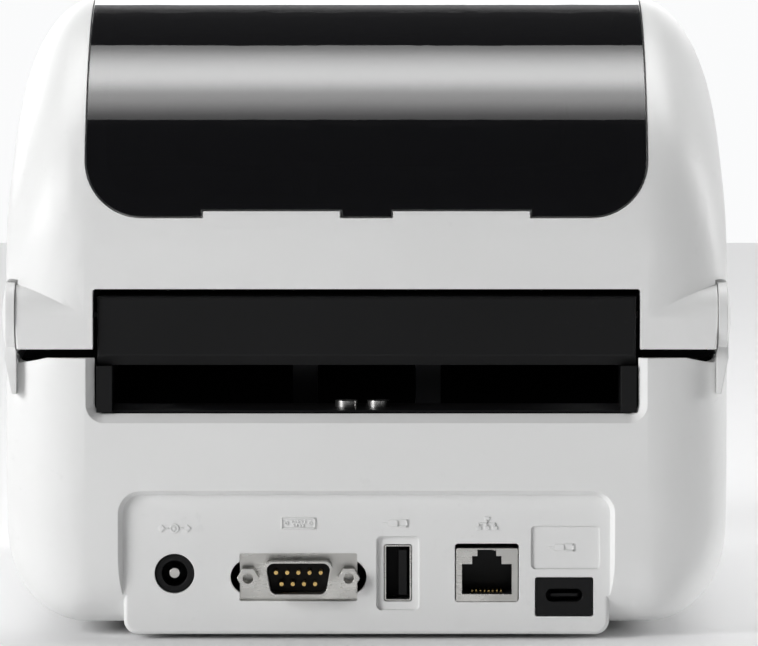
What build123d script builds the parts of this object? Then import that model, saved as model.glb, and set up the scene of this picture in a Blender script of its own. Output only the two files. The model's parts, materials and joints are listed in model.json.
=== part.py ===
from build123d import *
import math
import os

# Desktop thermal label printer. Millimetres, +Z up, origin on the floor under
# the middle of the printer. The labels leave at the front (-Y), the sockets
# are at the back (+Y).

# ---------------------------------------------------------------- casing ----
BODY_WIDTH = 179.6
HEIGHT = 156.0
REAR_Y = 110.0
FRONT_Y = -112.0
FLOOR_GAP = 3.0
SPLIT_Z = 71.0
SPLIT_GAP = 0.8
WALL = 2.6

# The middle of each casing is straight across; a band on each side rounds it
# off towards the side wall.
COVER_FLAT_WIDTH = 139.6
BASE_FLAT_WIDTH = 139.8
BAND_REAR_DEPTH = 12.0
BAND_REAR_KINK = 1.5
BAND_FRONT_DEPTH = 12.0
BAND_TOP_DROP = 42.6
BAND_BOTTOM_RISE = 21.5
BAND_STEPS = 5

# Side outline of the cover, above the split.
FACE_TOP_Z = 96.0
FACE_LEAN = 5.0
SLOPE_LOW = (-100.0, 108.0)
SLOPE_HIGH = (-64.0, 133.0)
CROWN_Y = 28.0
REAR_TOP_Z = 98.0
REAR_SHOULDER_SHARE = 0.68

# Rounded lower edges of the base.
BASE_FRONT_RADIUS = 14.0
BASE_REAR_RADIUS = 18.0

# ----------------------------------------------------------------- hinge ----
HINGE_Y = 102.0
HINGE_Z = 80.0
BARREL_RADIUS = 8.0
BARREL_INNER_X = COVER_FLAT_WIDTH / 2 - 2.0
BARREL_OUTER_X = BODY_WIDTH / 2 - 1.9
BARREL_END_RADIUS = 36.0
KNUCKLE_DROP = 7.6
KNUCKLE_CORNER = 0.5
KNUCKLE_REACH = 17.0
BAR_ROOM_RADIUS = 0.8
EAR_RADIUS = 8.5
EAR_PROUD = 0.7
EAR_FACE_GAP = 0.3
EAR_DOME = 33.0
EAR_THICKNESS = 3.6
EAR_GAP = 0.8
EAR_NECK_LENGTH = 6.5
EAR_NECK_FADE = (70.0, 61.0)
EAR_NECK_FOOT_INSET = 1.8
KNUCKLE_SWEEP_GAP = 0.4
HINGE_PIN_RADIUS = 2.5
HINGE_PIN_DEPTH = 6.0
RUNNING_FIT = 0.06
BAR_GAP = 1.0
BAR_FACE = 6.6
BAR_TOP = 5.5
BAR_SLANT_Z = 70.9
BAR_SLANT_DEPTH = 2.0
BAR_EDGE_RADIUS = 0.8
BAR_TO_COVER = 1.4

# ---------------------------------------------------------------- window ----
WINDOW_EDGE_GAP = 0.4
WINDOW_THICKNESS = 2.0
WINDOW_PROUD = 0.3
WINDOW_LEDGE = 5.0
WINDOW_REAR_Z = 105.4
WINDOW_FRONT_Z = 139.0
WINDOW_REAR_RADIUS = 13.8
WINDOW_FRONT_RADIUS = 9.0
WINDOW_TAB_X = 23.5
WINDOW_TAB_LENGTH = 34.0
WINDOW_TAB_HEIGHT = 1.3

# ------------------------------------------------------- fan-fold slot ----
SLOT_WIDTH = 126.2
SLOT_BOTTOM_Z = 56.6
SLOT_TOP_Z = 68.2
SLOT_FRAME_SIDE = 3.9
SLOT_FRAME_PLATE = 2.2
SLOT_BEVEL = 2.2
SLOT_RADIUS = 2.4
BAR_FRAME_GAP = 0.1
SLOT_FRAME_DEPTH = 21.0
SLOT_SCREW_X = (5.0, -2.9)

# ------------------------------------------------------------- sockets ----
IO_PANEL_Y = 108.0
IO_WIDTH = 123.0
IO_TOP_Z = 36.0
IO_BLOCK_WIDTH = 120.6
IO_BLOCK_BOTTOM_Z = 1.2
IO_WALL = 2.0
IO_TOP_RADIUS = 5.5
IO_BOTTOM_RADIUS = 3.5
IO_EDGE_RADIUS = 1.1
IO_WALL_SLOPE = 30.0
SOCKET_CLEARANCE = 0.3
BOARD_TOP_Z = 9.2
BOARD_THICKNESS = 1.6
BOARD_DEPTH = 54.0

DC_X = 47.7
DC_Z = 16.4
DC_HOLE_DIAMETER = 9.9
DC_BORE_DIAMETER = 6.4
DC_BODY_LENGTH = 14.0
DC_PIN_DIAMETER = 2.5

SERIAL_X = 16.9
SERIAL_Z = 15.5
SERIAL_SCREW_SPACING = 24.99
SERIAL_LOBE_RADIUS = 4.4
SERIAL_CUT_WIDTH = 29.1
SERIAL_CUT_HEIGHT = 11.9
SERIAL_CUT_CORNER = 0.4
SERIAL_D_WIDTH = 17.4
SERIAL_D_HEIGHT = 8.7
SERIAL_FLANGE_MARGIN = 2.1
SERIAL_FLARE = 1.0
SERIAL_SHELL_WALL = 0.5
SERIAL_SHELL_OUT = 4.0
SERIAL_PIN_PITCH = 2.77
SERIAL_ROW_PITCH = 2.84
SERIAL_PIN_DIAMETER = 1.0
SERIAL_HEX = 4.75
SERIAL_HEX_LENGTH = 5.0
SERIAL_THREAD_DIAMETER = 2.6
SERIAL_BODY_DEPTH = 10.0

USB_A_X = -7.8
USB_A_Z = 16.5
USB_A_CUT = (7.0, 14.3)
USB_A_RECESS = (10.6, 18.4)
USB_A_RECESS_DEPTH = 0.9
USB_A_SHELL_WALL = 0.35
USB_A_DEPTH = 14.0
USB_A_PLUG_DEPTH = 9.0
USB_A_TONGUE = (2.0, 11.2)

ETHERNET_X = -29.9
ETHERNET_Z = 16.6
ETHERNET_CUT = (15.85, 14.6)
ETHERNET_PLUG = (12.4, 7.5)
ETHERNET_STEPS = ((7.3, 2.0), (4.7, 1.6))
ETHERNET_PLUG_Z = -1.6
ETHERNET_DEPTH = 16.0
ETHERNET_PLUG_DEPTH = 12.0
ETHERNET_TOP_GAP = 1.1
ETHERNET_CONTACTS = 8
ETHERNET_CONTACT_PITCH = 1.02

USB_C_X = -49.1
USB_C_Z = 10.6
USB_C_BLOCK = (13.9, 9.2)
USB_C_OPENING = (9.1, 3.3)
USB_C_DEPTH = 8.0
USB_C_CORNER = 0.3
USB_C_TONGUE = (6.7, 0.7)

PLATE_X = -49.4
PLATE_Z = 22.9
PLATE_SIZE = (17.0, 10.6)
PLATE_DEPTH = 0.5

# ----------------------------------------------------- roll and chassis ----
ROLL_Y = 28.0
ROLL_Z = 87.0
ROLL_RADIUS = 63.5
ROLL_CLEARANCE = 1.5
TRAY_FLOOR = 2.5
TRAY_INNER_WIDTH = 132.0
TRAY_WALL = 2.5
TRAY_BOTTOM_Z = 10.0
TRAY_TOP_Z = 69.5
TRAY_FRONT_Y = -102.0
TRAY_GAP = 0.4
DECK_Z = 58.0
DECK_FRONT_Y = -82.0

GUIDE_INNER_X = 12.5
GUIDE_THICKNESS = 6.4
GUIDE_HALF_DEPTH = 19.0
GUIDE_TOP_Z = 113.0
GUIDE_HUB_RADIUS = 12.0
GUIDE_HUB_LENGTH = 6.5
GUIDE_TRAVEL = 44.0
GUIDE_CLEARANCE = 0.6
STEM_THICKNESS = 4.0

PINION_TEETH = 16
RACK_MODULE = 1.0
RACK_BODY = 5.0
RACK_Z = 12.0
RACK_THICKNESS = 4.5
RACK_LENGTH = 62.0
PINION_POST_RADIUS = 2.0
BACKLASH = 0.16
SIDE_PLAY = 0.5

# ---------------------------------------------------------- print drive ----
PLATEN_Y = -92.0
PLATEN_Z = 66.0
PLATEN_RADIUS = 7.5
PLATEN_LENGTH = 112.0
PLATEN_SHAFT_RADIUS = 3.0
BUSH_RADIUS = 5.0
BUSH_FLANGE_RADIUS = 6.2
BUSH_FLANGE = 1.2
GEAR_MODULE = 0.6
GEAR_WIDTH = 5.0
GEAR_START = 1.2
PLATEN_TEETH = 36
IDLER_TEETH = 30
PINION_DRIVE_TEETH = 12
IDLER_DIRECTION = -60.0
MOTOR_DIRECTION = -90.0
IDLER_POST_RADIUS = 2.0
MOTOR_RADIUS = 17.5
MOTOR_LENGTH = 20.0
MOTOR_FLANGE = 1.2
MOTOR_SHAFT_RADIUS = 1.0
MOTOR_BOSS_RADIUS = 4.5

# ------------------------------------------------------------- latches ----
LATCH_Y = -54.0
LATCH_Z = 44.0
LATCH_SHAFT_RADIUS = 3.0
LATCH_ARM_X = 70.5
LATCH_ARM_WIDTH = 3.0
LATCH_ARM_TOP_Z = 76.5
STUD_RADIUS = 2.0
STUD_Z = 77.0
LATCH_GAP = 0.5
LEVER_X = 76.5
LEVER_THICKNESS = 3.0
LEVER_PAD = (14.0, 10.0)
LEVER_PAD_TOP_Z = 69.4
LEVER_PROUD = 0.5
LEVER_SWING = 12.0
LEVER_CUT_MARGIN = 1.2

# ---------------------------------------------------------- print head ----
HEAD_GAP = 0.3
REAR_RAIL_Y = HINGE_Y - 10.2
REAR_RAIL_SHEET = 1.2
REAR_RAIL_LOW_Z = HINGE_Z + 0.5
HEAD_LENGTH = 112.0
HEAD_DEPTH = 12.0
HEAD_CERAMIC = 1.6
HEAD_SINK = 4.5
BRACKET_SHEET = 1.5
BRACKET_BACK_Y = -74.0
HEAD_PIVOT_Z = 86.0
HEAD_PIVOT_RADIUS = 2.0
BEAM_BOTTOM_Z = 91.5
BEAM_TOP_Z = 106.0
BEAM_FRONT_Y = -96.0
BEAM_BACK_Y = -70.0
SPRING_X = 36.0
SPRING_RADIUS = 3.0
SPRING_WIRE = 0.7
TEAR_BAR_LENGTH = 116.0
TEAR_BAR_SHEET = 1.4
TEAR_BAR_GAP = 0.5
TEAR_BAR_DROP = 1.6
TEAR_BAR_FLANGE = 8.0
TEAR_BAR_TEETH = 58
MOUTH_TOP_Z = 79.0

# ------------------------------------------------------- control panel ----
PANEL_SIZE = (112.0, 30.0)
PANEL_THICKNESS = 1.8
PANEL_GAP = 0.3
PANEL_RADIUS = 6.0
DISPLAY_SIZE = (38.0, 20.0)
DISPLAY_X = -30.0
DISPLAY_THICKNESS = 1.0
BUTTON_RADIUS = 4.6
BUTTON_X = (8.0, 24.0, 40.0)
BUTTON_NAMES = ("power_button", "pause_button", "feed_button")
BUTTON_V = -3.5
BUTTON_HEIGHT = 4.6
BUTTON_PROUD = 1.0
BUTTON_GAP = 0.25
CONTROL_BOARD_DROP = 6.6

# ------------------------------------------------------------ fastening ----
FOOT_RADIUS = 7.0
FOOT_X = 54.0
FOOT_Y = (-74.0, 74.0)
BOTTOM_SCREW_X = 30.0
SCREW_HEAD_RADIUS = 2.8
SCREW_HEAD = 1.6
SCREW_RADIUS = 1.5
BOTTOM_PLATE = (128.0, 168.0)
BOTTOM_THICKNESS = 2.0
BOTTOM_GAP = 0.4


# --------------------------------------------------------- small helpers ----
def box(x_range, y_range, z_range):
    """A block between two coordinates on each axis."""
    size = [high - low for low, high in (x_range, y_range, z_range)]
    middle = [(low + high) / 2 for low, high in (x_range, y_range, z_range)]
    return Pos(*middle) * Box(*size)


def rod_x(x_range, y, z, radius):
    """A round bar along X between two places."""
    low, high = x_range
    return Pos((low + high) / 2, y, z) * Rot(0, 90, 0) * Cylinder(radius, high - low)


def rod_y(x, y_range, z, radius):
    """A round bar along Y between two places."""
    low, high = y_range
    return Pos(x, (low + high) / 2, z) * Rot(90, 0, 0) * Cylinder(radius, high - low)


def rod_z(x, y, z_range, radius):
    """A round bar along Z between two places."""
    low, high = z_range
    return Pos(x, y, (low + high) / 2) * Cylinder(radius, high - low)


def both_sides(shape):
    """The shape with its mirror image on the other side of the middle."""
    return shape + mirror(shape, Plane.YZ)


def rounded_block(size, radius, centre, y_range):
    """A block along Y whose outline, seen from behind, has round corners."""
    low, high = y_range
    outline = Plane.XZ * RectangleRounded(size[0], size[1], radius)
    block = extrude(outline, amount=(high - low) / 2, both=True)
    return Pos(centre[0], (low + high) / 2, centre[1]) * block


# ----------------------------------------------------------- casing forms ----
def rounding(share, depth, kink=0.0):
    """How far a band has rounded away at this share of its width."""
    return kink * share + depth * (1 - math.sqrt(max(0.0, 1 - share * share)))


def cover_outline(x, share, inset, bottom_z):
    """Side outline of the cover at one place across it, as a face."""
    rear = REAR_Y - rounding(share, BAND_REAR_DEPTH, BAND_REAR_KINK) - inset
    front = FRONT_Y + rounding(share, BAND_FRONT_DEPTH) + inset
    top = HEIGHT - rounding(share, BAND_TOP_DROP) - inset
    stretch = (rear - front) / (REAR_Y - FRONT_Y)
    lift = (top - SPLIT_Z) / (HEIGHT - SPLIT_Z)

    def at(y, z):
        return Vector(x, front + (y - FRONT_Y) * stretch, SPLIT_Z + (z - SPLIT_Z) * lift)

    shoulder_y = CROWN_Y + REAR_SHOULDER_SHARE * (REAR_Y - CROWN_Y)
    shoulder_z = REAR_TOP_Z + (HEIGHT - REAR_TOP_Z) * math.sqrt(1 - REAR_SHOULDER_SHARE**2)
    face_top = at(FRONT_Y + FACE_LEAN, FACE_TOP_Z)
    slope = (at(*SLOPE_LOW), at(*SLOPE_HIGH))
    crown = at(CROWN_Y, HEIGHT)
    rear_top = at(REAR_Y, REAR_TOP_Z)
    foot_front = Vector(x, front, bottom_z)
    foot_rear = Vector(x, rear, bottom_z)
    up_face = (face_top - foot_front).normalized()
    up_slope = (slope[1] - slope[0]).normalized()
    back = Vector(0, 1, 0)
    edges = [
        Line(foot_front, face_top),
        Spline(face_top, slope[0], tangents=[up_face, up_slope]),
        Line(slope[0], slope[1]),
        Spline(slope[1], crown, tangents=[up_slope, back]),
        Spline(crown, at(shoulder_y, shoulder_z), rear_top, tangents=[back, Vector(0, 0, -1)]),
        Line(rear_top, foot_rear),
        Line(foot_rear, foot_front),
    ]
    return Face(Wire(edges))


def base_outline(x, share, inset, top_z):
    """Side outline of the base at one place across it, as a face."""
    rear = REAR_Y - rounding(share, BAND_REAR_DEPTH, BAND_REAR_KINK) - inset
    front = FRONT_Y + rounding(share, BAND_FRONT_DEPTH) + inset
    bottom = FLOOR_GAP + rounding(share, BAND_BOTTOM_RISE) + inset
    front_round = BASE_FRONT_RADIUS
    rear_round = BASE_REAR_RADIUS
    down = Vector(0, 0, -1)
    back = Vector(0, 1, 0)
    front_high = Vector(x, front, bottom + front_round)
    front_low = Vector(x, front + front_round, bottom)
    rear_low = Vector(x, rear - rear_round, bottom)
    rear_high = Vector(x, rear, bottom + rear_round)
    edges = [
        Line(Vector(x, front, top_z), front_high),
        Spline(front_high, front_low, tangents=[down, back]),
        Line(front_low, rear_low),
        Spline(rear_low, rear_high, tangents=[back, down * -1]),
        Line(rear_high, Vector(x, rear, top_z)),
        Line(Vector(x, rear, top_z), Vector(x, front, top_z)),
    ]
    return Face(Wire(edges))


def banded_body(outline, flat_width, inset, edge_z):
    """A body that is straight across its middle and rounds off at both sides."""
    flat_half = flat_width / 2
    band = BODY_WIDTH / 2 - flat_half - inset
    middle = extrude(outline(-flat_half, 0, inset, edge_z), amount=flat_width, dir=(1, 0, 0))
    angles = [math.radians(90 * step / BAND_STEPS) for step in range(BAND_STEPS + 1)]
    shares = [math.sin(angle) for angle in angles]
    stations = [outline(flat_half + band * share, share, inset, edge_z) for share in shares]
    return middle + both_sides(loft(stations))


def window_region(gap):
    """Everything above the window's outline, grown by a gap all round."""
    width = COVER_FLAT_WIDTH - 2 * WINDOW_EDGE_GAP + 2 * gap
    top = HEIGHT + 10
    sides = (
        (WINDOW_REAR_Z, WINDOW_REAR_RADIUS, CROWN_Y, REAR_Y + 10),
        (WINDOW_FRONT_Z, WINDOW_FRONT_RADIUS, FRONT_Y, CROWN_Y),
    )
    region = None
    for low_z, radius, y_low, y_high in sides:
        bottom = low_z - gap
        height = 2 * (top - bottom)
        piece = rounded_block((width, height), radius + gap, (0, top), (y_low, y_high))
        region = piece if region is None else region + piece
    return region


def window_tabs(gap):
    """The two lips of the cover that hold the window's rear edge."""
    half = WINDOW_TAB_LENGTH / 2 + gap
    z_range = (WINDOW_REAR_Z - 1, WINDOW_REAR_Z + WINDOW_TAB_HEIGHT + gap)
    tab = box((WINDOW_TAB_X - half, WINDOW_TAB_X + half), (CROWN_Y, REAR_Y + 5), z_range)
    return both_sides(tab)


# -------------------------------------------------------- control panel ----
def panel_place(drop=0.0):
    """The plane of the sloping control panel, its local Y up the slope."""
    low, high = Vector(0, *SLOPE_LOW), Vector(0, *SLOPE_HIGH)
    along = (high - low).normalized()
    normal = Vector(0, -along.Z, along.Y)
    centre = (low + high) * 0.5 - normal * drop
    return Plane(origin=centre, x_dir=(1, 0, 0), z_dir=normal)


def panel_slab(size, radius, top, thickness):
    """A slab parallel to the control panel, its top so far above the slope."""
    sketch = RectangleRounded(size[0], size[1], radius)
    return extrude(panel_place(-top) * sketch, amount=-thickness)


def button_pin(name_index, radius, top, height):
    """A round body square to the control panel at one button's place."""
    spot = Pos(BUTTON_X[name_index], BUTTON_V, 0) * Circle(radius)
    return extrude(panel_place(-top) * spot, amount=-height)


def control_bezel():
    plate = panel_slab(PANEL_SIZE, PANEL_RADIUS, 0, PANEL_THICKNESS)
    display = Pos(DISPLAY_X, 0, 0) * Rectangle(DISPLAY_SIZE[0] + PANEL_GAP, DISPLAY_SIZE[1] + PANEL_GAP)
    plate -= extrude(panel_place(-1) * display, amount=-PANEL_THICKNESS - 2)
    for index in range(len(BUTTON_X)):
        plate -= button_pin(index, BUTTON_RADIUS + BUTTON_GAP, 1, PANEL_THICKNESS + 2)
    return plate


def display_screen():
    glass = Pos(DISPLAY_X, 0, 0) * Rectangle(*DISPLAY_SIZE)
    return extrude(panel_place(0.2) * glass, amount=-DISPLAY_THICKNESS)


def control_button(index):
    cap = button_pin(index, BUTTON_RADIUS, BUTTON_PROUD, BUTTON_HEIGHT)
    return cap


def control_board():
    size = (PANEL_SIZE[0] - 8, PANEL_SIZE[1] - 8)
    return panel_slab(size, 1.0, -CONTROL_BOARD_DROP, BOARD_THICKNESS)


# ----------------------------------------------------------------- cover ----
def domed_plug(x_low, x_top, reach, dome_radius):
    """A round plug on the hinge axis whose outer end is a shallow dome."""
    def sag(r):
        return dome_radius - math.sqrt(dome_radius**2 - r * r)

    centre = Vector(x_top, HINGE_Y, HINGE_Z)
    rim = Vector(x_top - sag(reach), HINGE_Y, HINGE_Z + reach)
    halfway = Vector(x_top - sag(reach / 2), HINGE_Y, HINGE_Z + reach / 2)
    low_rim = Vector(x_low, HINGE_Y, HINGE_Z + reach)
    low = Vector(x_low, HINGE_Y, HINGE_Z)
    arc = ThreePointArc(centre, halfway, rim)
    edges = [arc, Line(rim, low_rim), Line(low_rim, low), Line(low, centre)]
    return revolve(Face(Wire(edges)), Axis((0, HINGE_Y, HINGE_Z), (1, 0, 0)), 360)


def hinge_barrel():
    """A knuckle: round above and in front, flat behind down to a crisp lower edge."""
    barrel = rod_x((BARREL_INNER_X, BARREL_OUTER_X), HINGE_Y, HINGE_Z, BARREL_RADIUS)
    y_range = (HINGE_Y, HINGE_Y + BARREL_RADIUS)
    apron = box((BARREL_INNER_X, BARREL_OUTER_X), y_range, (HINGE_Z - KNUCKLE_DROP, HINGE_Z))
    low_edge = apron.edges().filter_by(Axis.X).sort_by(lambda e: e.center().Y - e.center().Z)[-1]
    barrel += fillet(low_edge, KNUCKLE_CORNER)
    beyond = box((BARREL_OUTER_X - 5, BARREL_OUTER_X + 1), (HINGE_Y - 12, HINGE_Y + 12), (HINGE_Z - 12, HINGE_Z + 12))
    beyond -= domed_plug(BARREL_OUTER_X - 6, BARREL_OUTER_X, KNUCKLE_REACH, BARREL_END_RADIUS)
    return barrel - beyond


def hinge_bore():
    depth = (BARREL_OUTER_X - HINGE_PIN_DEPTH - SIDE_PLAY, BARREL_OUTER_X + 5)
    return rod_x(depth, HINGE_Y, HINGE_Z, HINGE_PIN_RADIUS + RUNNING_FIT)


def cover_shell():
    far = BODY_WIDTH
    outer = banded_body(cover_outline, COVER_FLAT_WIDTH, 0, SPLIT_Z)
    inner = banded_body(cover_outline, COVER_FLAT_WIDTH, WALL, SPLIT_Z - WALL)
    seat = banded_body(cover_outline, COVER_FLAT_WIDTH, WINDOW_THICKNESS - WINDOW_PROUD + 0.1, SPLIT_Z)
    shell = outer - inner
    shell -= (outer - seat) & (window_region(WINDOW_EDGE_GAP) - window_tabs(0))
    shell -= window_region(-WINDOW_LEDGE)
    barrel_front = HINGE_Y - BARREL_RADIUS - 2
    shell -= box((-far, far), (barrel_front, REAR_Y + 5), (0, HINGE_Z))
    bar_half = BARREL_INNER_X
    bar_top = HINGE_Z + BARREL_RADIUS - 2 + BAR_TO_COVER
    bar_room = box((-bar_half, bar_half), (barrel_front, REAR_Y + 5), (0, bar_top))
    bar_room = fillet(bar_room.edges().filter_by(Axis.Y).group_by(Axis.Z)[-1], BAR_ROOM_RADIUS)
    shell -= bar_room
    ear_room = rod_x((ear_inner_x() - EAR_FACE_GAP, far), HINGE_Y, HINGE_Z, EAR_RADIUS + EAR_GAP)
    shell -= both_sides(ear_room)
    mouth = TEAR_BAR_LENGTH / 2 + 3
    shell -= box((-mouth, mouth), (FRONT_Y - 5, PLATEN_Y + 4), (0, MOUTH_TOP_Z))
    recess = (PANEL_SIZE[0] + 2 * PANEL_GAP, PANEL_SIZE[1] + 2 * PANEL_GAP)
    shell -= panel_slab(recess, PANEL_RADIUS + PANEL_GAP, 2, PANEL_THICKNESS + 2.1)
    through = (PANEL_SIZE[0] - 5, PANEL_SIZE[1] - 5)
    shell -= panel_slab(through, PANEL_RADIUS - 3, 3, WALL + 5)
    shell += both_sides(hinge_barrel())
    return shell - both_sides(hinge_bore())


def cover_window():
    skin = banded_body(cover_outline, COVER_FLAT_WIDTH, -WINDOW_PROUD, SPLIT_Z)
    skin -= banded_body(cover_outline, COVER_FLAT_WIDTH, WINDOW_THICKNESS - WINDOW_PROUD, SPLIT_Z - 5)
    return skin & (window_region(0) - window_tabs(WINDOW_EDGE_GAP))


def cover_liner():
    """Black inner frame: a cross beam over the print head, two side arms and a thin rear rail."""
    half = COVER_FLAT_WIDTH / 2 + 6
    beam = box((-half, half), (BEAM_FRONT_Y, BEAM_BACK_Y), (BEAM_BOTTOM_Z, BEAM_TOP_Z))
    hollow = box((-half + 3, half - 3), (BEAM_FRONT_Y + 3, BEAM_BACK_Y - 3), (BEAM_BOTTOM_Z + 3, BEAM_TOP_Z + 1))
    beam -= hollow
    arm = box((half - 3, half), (BEAM_BACK_Y - 3, REAR_RAIL_Y + REAR_RAIL_SHEET), (BEAM_BOTTOM_Z, BEAM_BOTTOM_Z + 8))
    rail_y = (REAR_RAIL_Y, REAR_RAIL_Y + REAR_RAIL_SHEET)
    rail = box((-half, half), rail_y, (REAR_RAIL_LOW_Z, BEAM_BOTTOM_Z + 8))
    cheek_x = (HEAD_LENGTH / 2 + 4, HEAD_LENGTH / 2 + 7)
    cheek = box(cheek_x, (BRACKET_BACK_Y - 6, BEAM_BACK_Y), (HEAD_PIVOT_Z - 5, BEAM_BOTTOM_Z + 1))
    pin = rod_x((HEAD_LENGTH / 2 + 0.6, cheek_x[1]), BRACKET_BACK_Y - 2, HEAD_PIVOT_Z, HEAD_PIVOT_RADIUS)
    stud_x = (LATCH_ARM_X - 1, LATCH_ARM_X + LATCH_ARM_WIDTH + 1)
    post = box((stud_x[1], stud_x[1] + 2.5), (LATCH_Y - 1, LATCH_Y + 9), (STUD_Z - 3, BEAM_BOTTOM_Z + 8))
    stud = rod_x(stud_x, LATCH_Y + STUD_RADIUS + LATCH_GAP, STUD_Z, STUD_RADIUS)
    bridge = box((half - 3, stud_x[1] + 2.5), (LATCH_Y - 1, LATCH_Y + 9), (BEAM_BOTTOM_Z, BEAM_BOTTOM_Z + 8))
    return beam + rail + both_sides(arm + cheek + pin + stud + post + bridge)


# ------------------------------------------------------------ print head ----
def head_bottom_z():
    return PLATEN_Z + PLATEN_RADIUS + HEAD_GAP


def print_head():
    half = HEAD_LENGTH / 2 - 1
    bottom = head_bottom_z()
    y_range = (PLATEN_Y - HEAD_DEPTH / 2, PLATEN_Y + HEAD_DEPTH / 2)
    return box((-half, half), y_range, (bottom, bottom + HEAD_CERAMIC))


def head_heatsink():
    half = HEAD_LENGTH / 2 - 1
    low = head_bottom_z() + HEAD_CERAMIC
    y_range = (PLATEN_Y - HEAD_DEPTH / 2, BRACKET_BACK_Y - 6)
    sink = box((-half, half), y_range, (low, low + HEAD_SINK))
    for share in (-0.3, 0.0, 0.3):
        groove_y = PLATEN_Y + share * HEAD_DEPTH
        sink -= box((-half, half), (groove_y - 0.6, groove_y + 0.6), (low + HEAD_SINK - 2, low + HEAD_SINK))
    return sink


def head_bracket():
    half = HEAD_LENGTH / 2 - 1
    low = head_bottom_z() + HEAD_CERAMIC + HEAD_SINK
    y_range = (PLATEN_Y - HEAD_DEPTH / 2, BRACKET_BACK_Y)
    top = box((-half, half), y_range, (low, low + BRACKET_SHEET))
    wing = box((half - BRACKET_SHEET, half), (BRACKET_BACK_Y - 6, BRACKET_BACK_Y + 2), (low, HEAD_PIVOT_Z + 4))
    lug = box((half, HEAD_LENGTH / 2 + 2), (BRACKET_BACK_Y - 6, BRACKET_BACK_Y + 2), (low, HEAD_PIVOT_Z + 4))
    bore = rod_x((half - 3, half + 5), BRACKET_BACK_Y - 2, HEAD_PIVOT_Z, HEAD_PIVOT_RADIUS + RUNNING_FIT)
    return top + both_sides(wing + lug - bore)


def head_spring(x):
    """A closed coil spring drawn as its sleeve, between bracket and beam."""
    low = head_bottom_z() + HEAD_CERAMIC + HEAD_SINK + BRACKET_SHEET
    outer = rod_z(x, PLATEN_Y, (low, BEAM_BOTTOM_Z), SPRING_RADIUS)
    return outer - rod_z(x, PLATEN_Y, (low, BEAM_BOTTOM_Z), SPRING_RADIUS - SPRING_WIRE)


def tear_bar():
    """Serrated strip that hangs behind the lower edge of the cover's front."""
    half = TEAR_BAR_LENGTH / 2
    low = MOUTH_TOP_Z - TEAR_BAR_DROP
    high = MOUTH_TOP_Z + TEAR_BAR_FLANGE
    lean = FACE_LEAN * (high - SPLIT_Z) / (FACE_TOP_Z - SPLIT_Z)
    front = FRONT_Y + lean + WALL + TEAR_BAR_GAP
    back = front + TEAR_BAR_SHEET
    blade = box((-half, half), (front, back), (low, high))
    foot = box((-half, half), (back, back + 3.8), (high - TEAR_BAR_SHEET, high))
    strip = blade + foot
    pitch = TEAR_BAR_LENGTH / TEAR_BAR_TEETH
    notches = []
    for index in range(TEAR_BAR_TEETH + 1):
        x = -half + index * pitch
        notch = Polygon((x - pitch / 2, low), (x + pitch / 2, low), (x, low + pitch * 0.6), align=None)
        notches.append(Pos(0, back + 0.5, 0) * extrude(Plane.XZ * notch, amount=TEAR_BAR_SHEET + 1))
    return strip - notches


# ------------------------------------------------------------------ base ----
def ear_outer_x():
    return BODY_WIDTH / 2 + EAR_PROUD


def ear_inner_x():
    return ear_outer_x() - EAR_THICKNESS


def ear():
    inner_x, outer_x = ear_inner_x(), ear_outer_x()
    disc = domed_plug(inner_x, outer_x, EAR_RADIUS, EAR_DOME)
    neck_front = HINGE_Y - EAR_RADIUS
    neck_out = BODY_WIDTH / 2 - 0.02
    foot_out = BODY_WIDTH / 2 - EAR_NECK_FOOT_INSET
    fade_top, fade_low = EAR_NECK_FADE
    corners = [(inner_x, HINGE_Z), (neck_out, HINGE_Z), (neck_out, fade_top), (foot_out, fade_low), (inner_x, fade_low)]
    side_view = Plane.XZ * Polygon(*corners, align=None)
    neck = Pos(0, neck_front + EAR_NECK_LENGTH, 0) * extrude(side_view, amount=EAR_NECK_LENGTH)
    pin_x = (BARREL_OUTER_X - HINGE_PIN_DEPTH, outer_x + 1)
    plain = disc + neck - domed_plug(inner_x - 1, BARREL_OUTER_X + EAR_FACE_GAP, KNUCKLE_REACH, BARREL_END_RADIUS)
    return plain - rod_x(pin_x, HINGE_Y, HINGE_Z, HINGE_PIN_RADIUS)


def hinge_pins():
    outer_x = ear_outer_x() - EAR_FACE_GAP
    pin = rod_x((BARREL_OUTER_X - HINGE_PIN_DEPTH, outer_x), HINGE_Y, HINGE_Z, HINGE_PIN_RADIUS)
    return Compound(children=[pin, mirror(pin, Plane.YZ)])


def serial_cutout(grow, y_range):
    """The D socket's opening, with a round lobe round each jackscrew."""
    width = SERIAL_CUT_WIDTH + 2 * grow
    height = SERIAL_CUT_HEIGHT + 2 * grow
    centre = (SERIAL_X, SERIAL_Z)
    cut = rounded_block((width, height), SERIAL_CUT_CORNER, centre, y_range)
    for side in (-1, 1):
        x = SERIAL_X + side * SERIAL_SCREW_SPACING / 2
        cut += rod_y(x, y_range, SERIAL_Z, SERIAL_LOBE_RADIUS + grow)
    return cut


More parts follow.
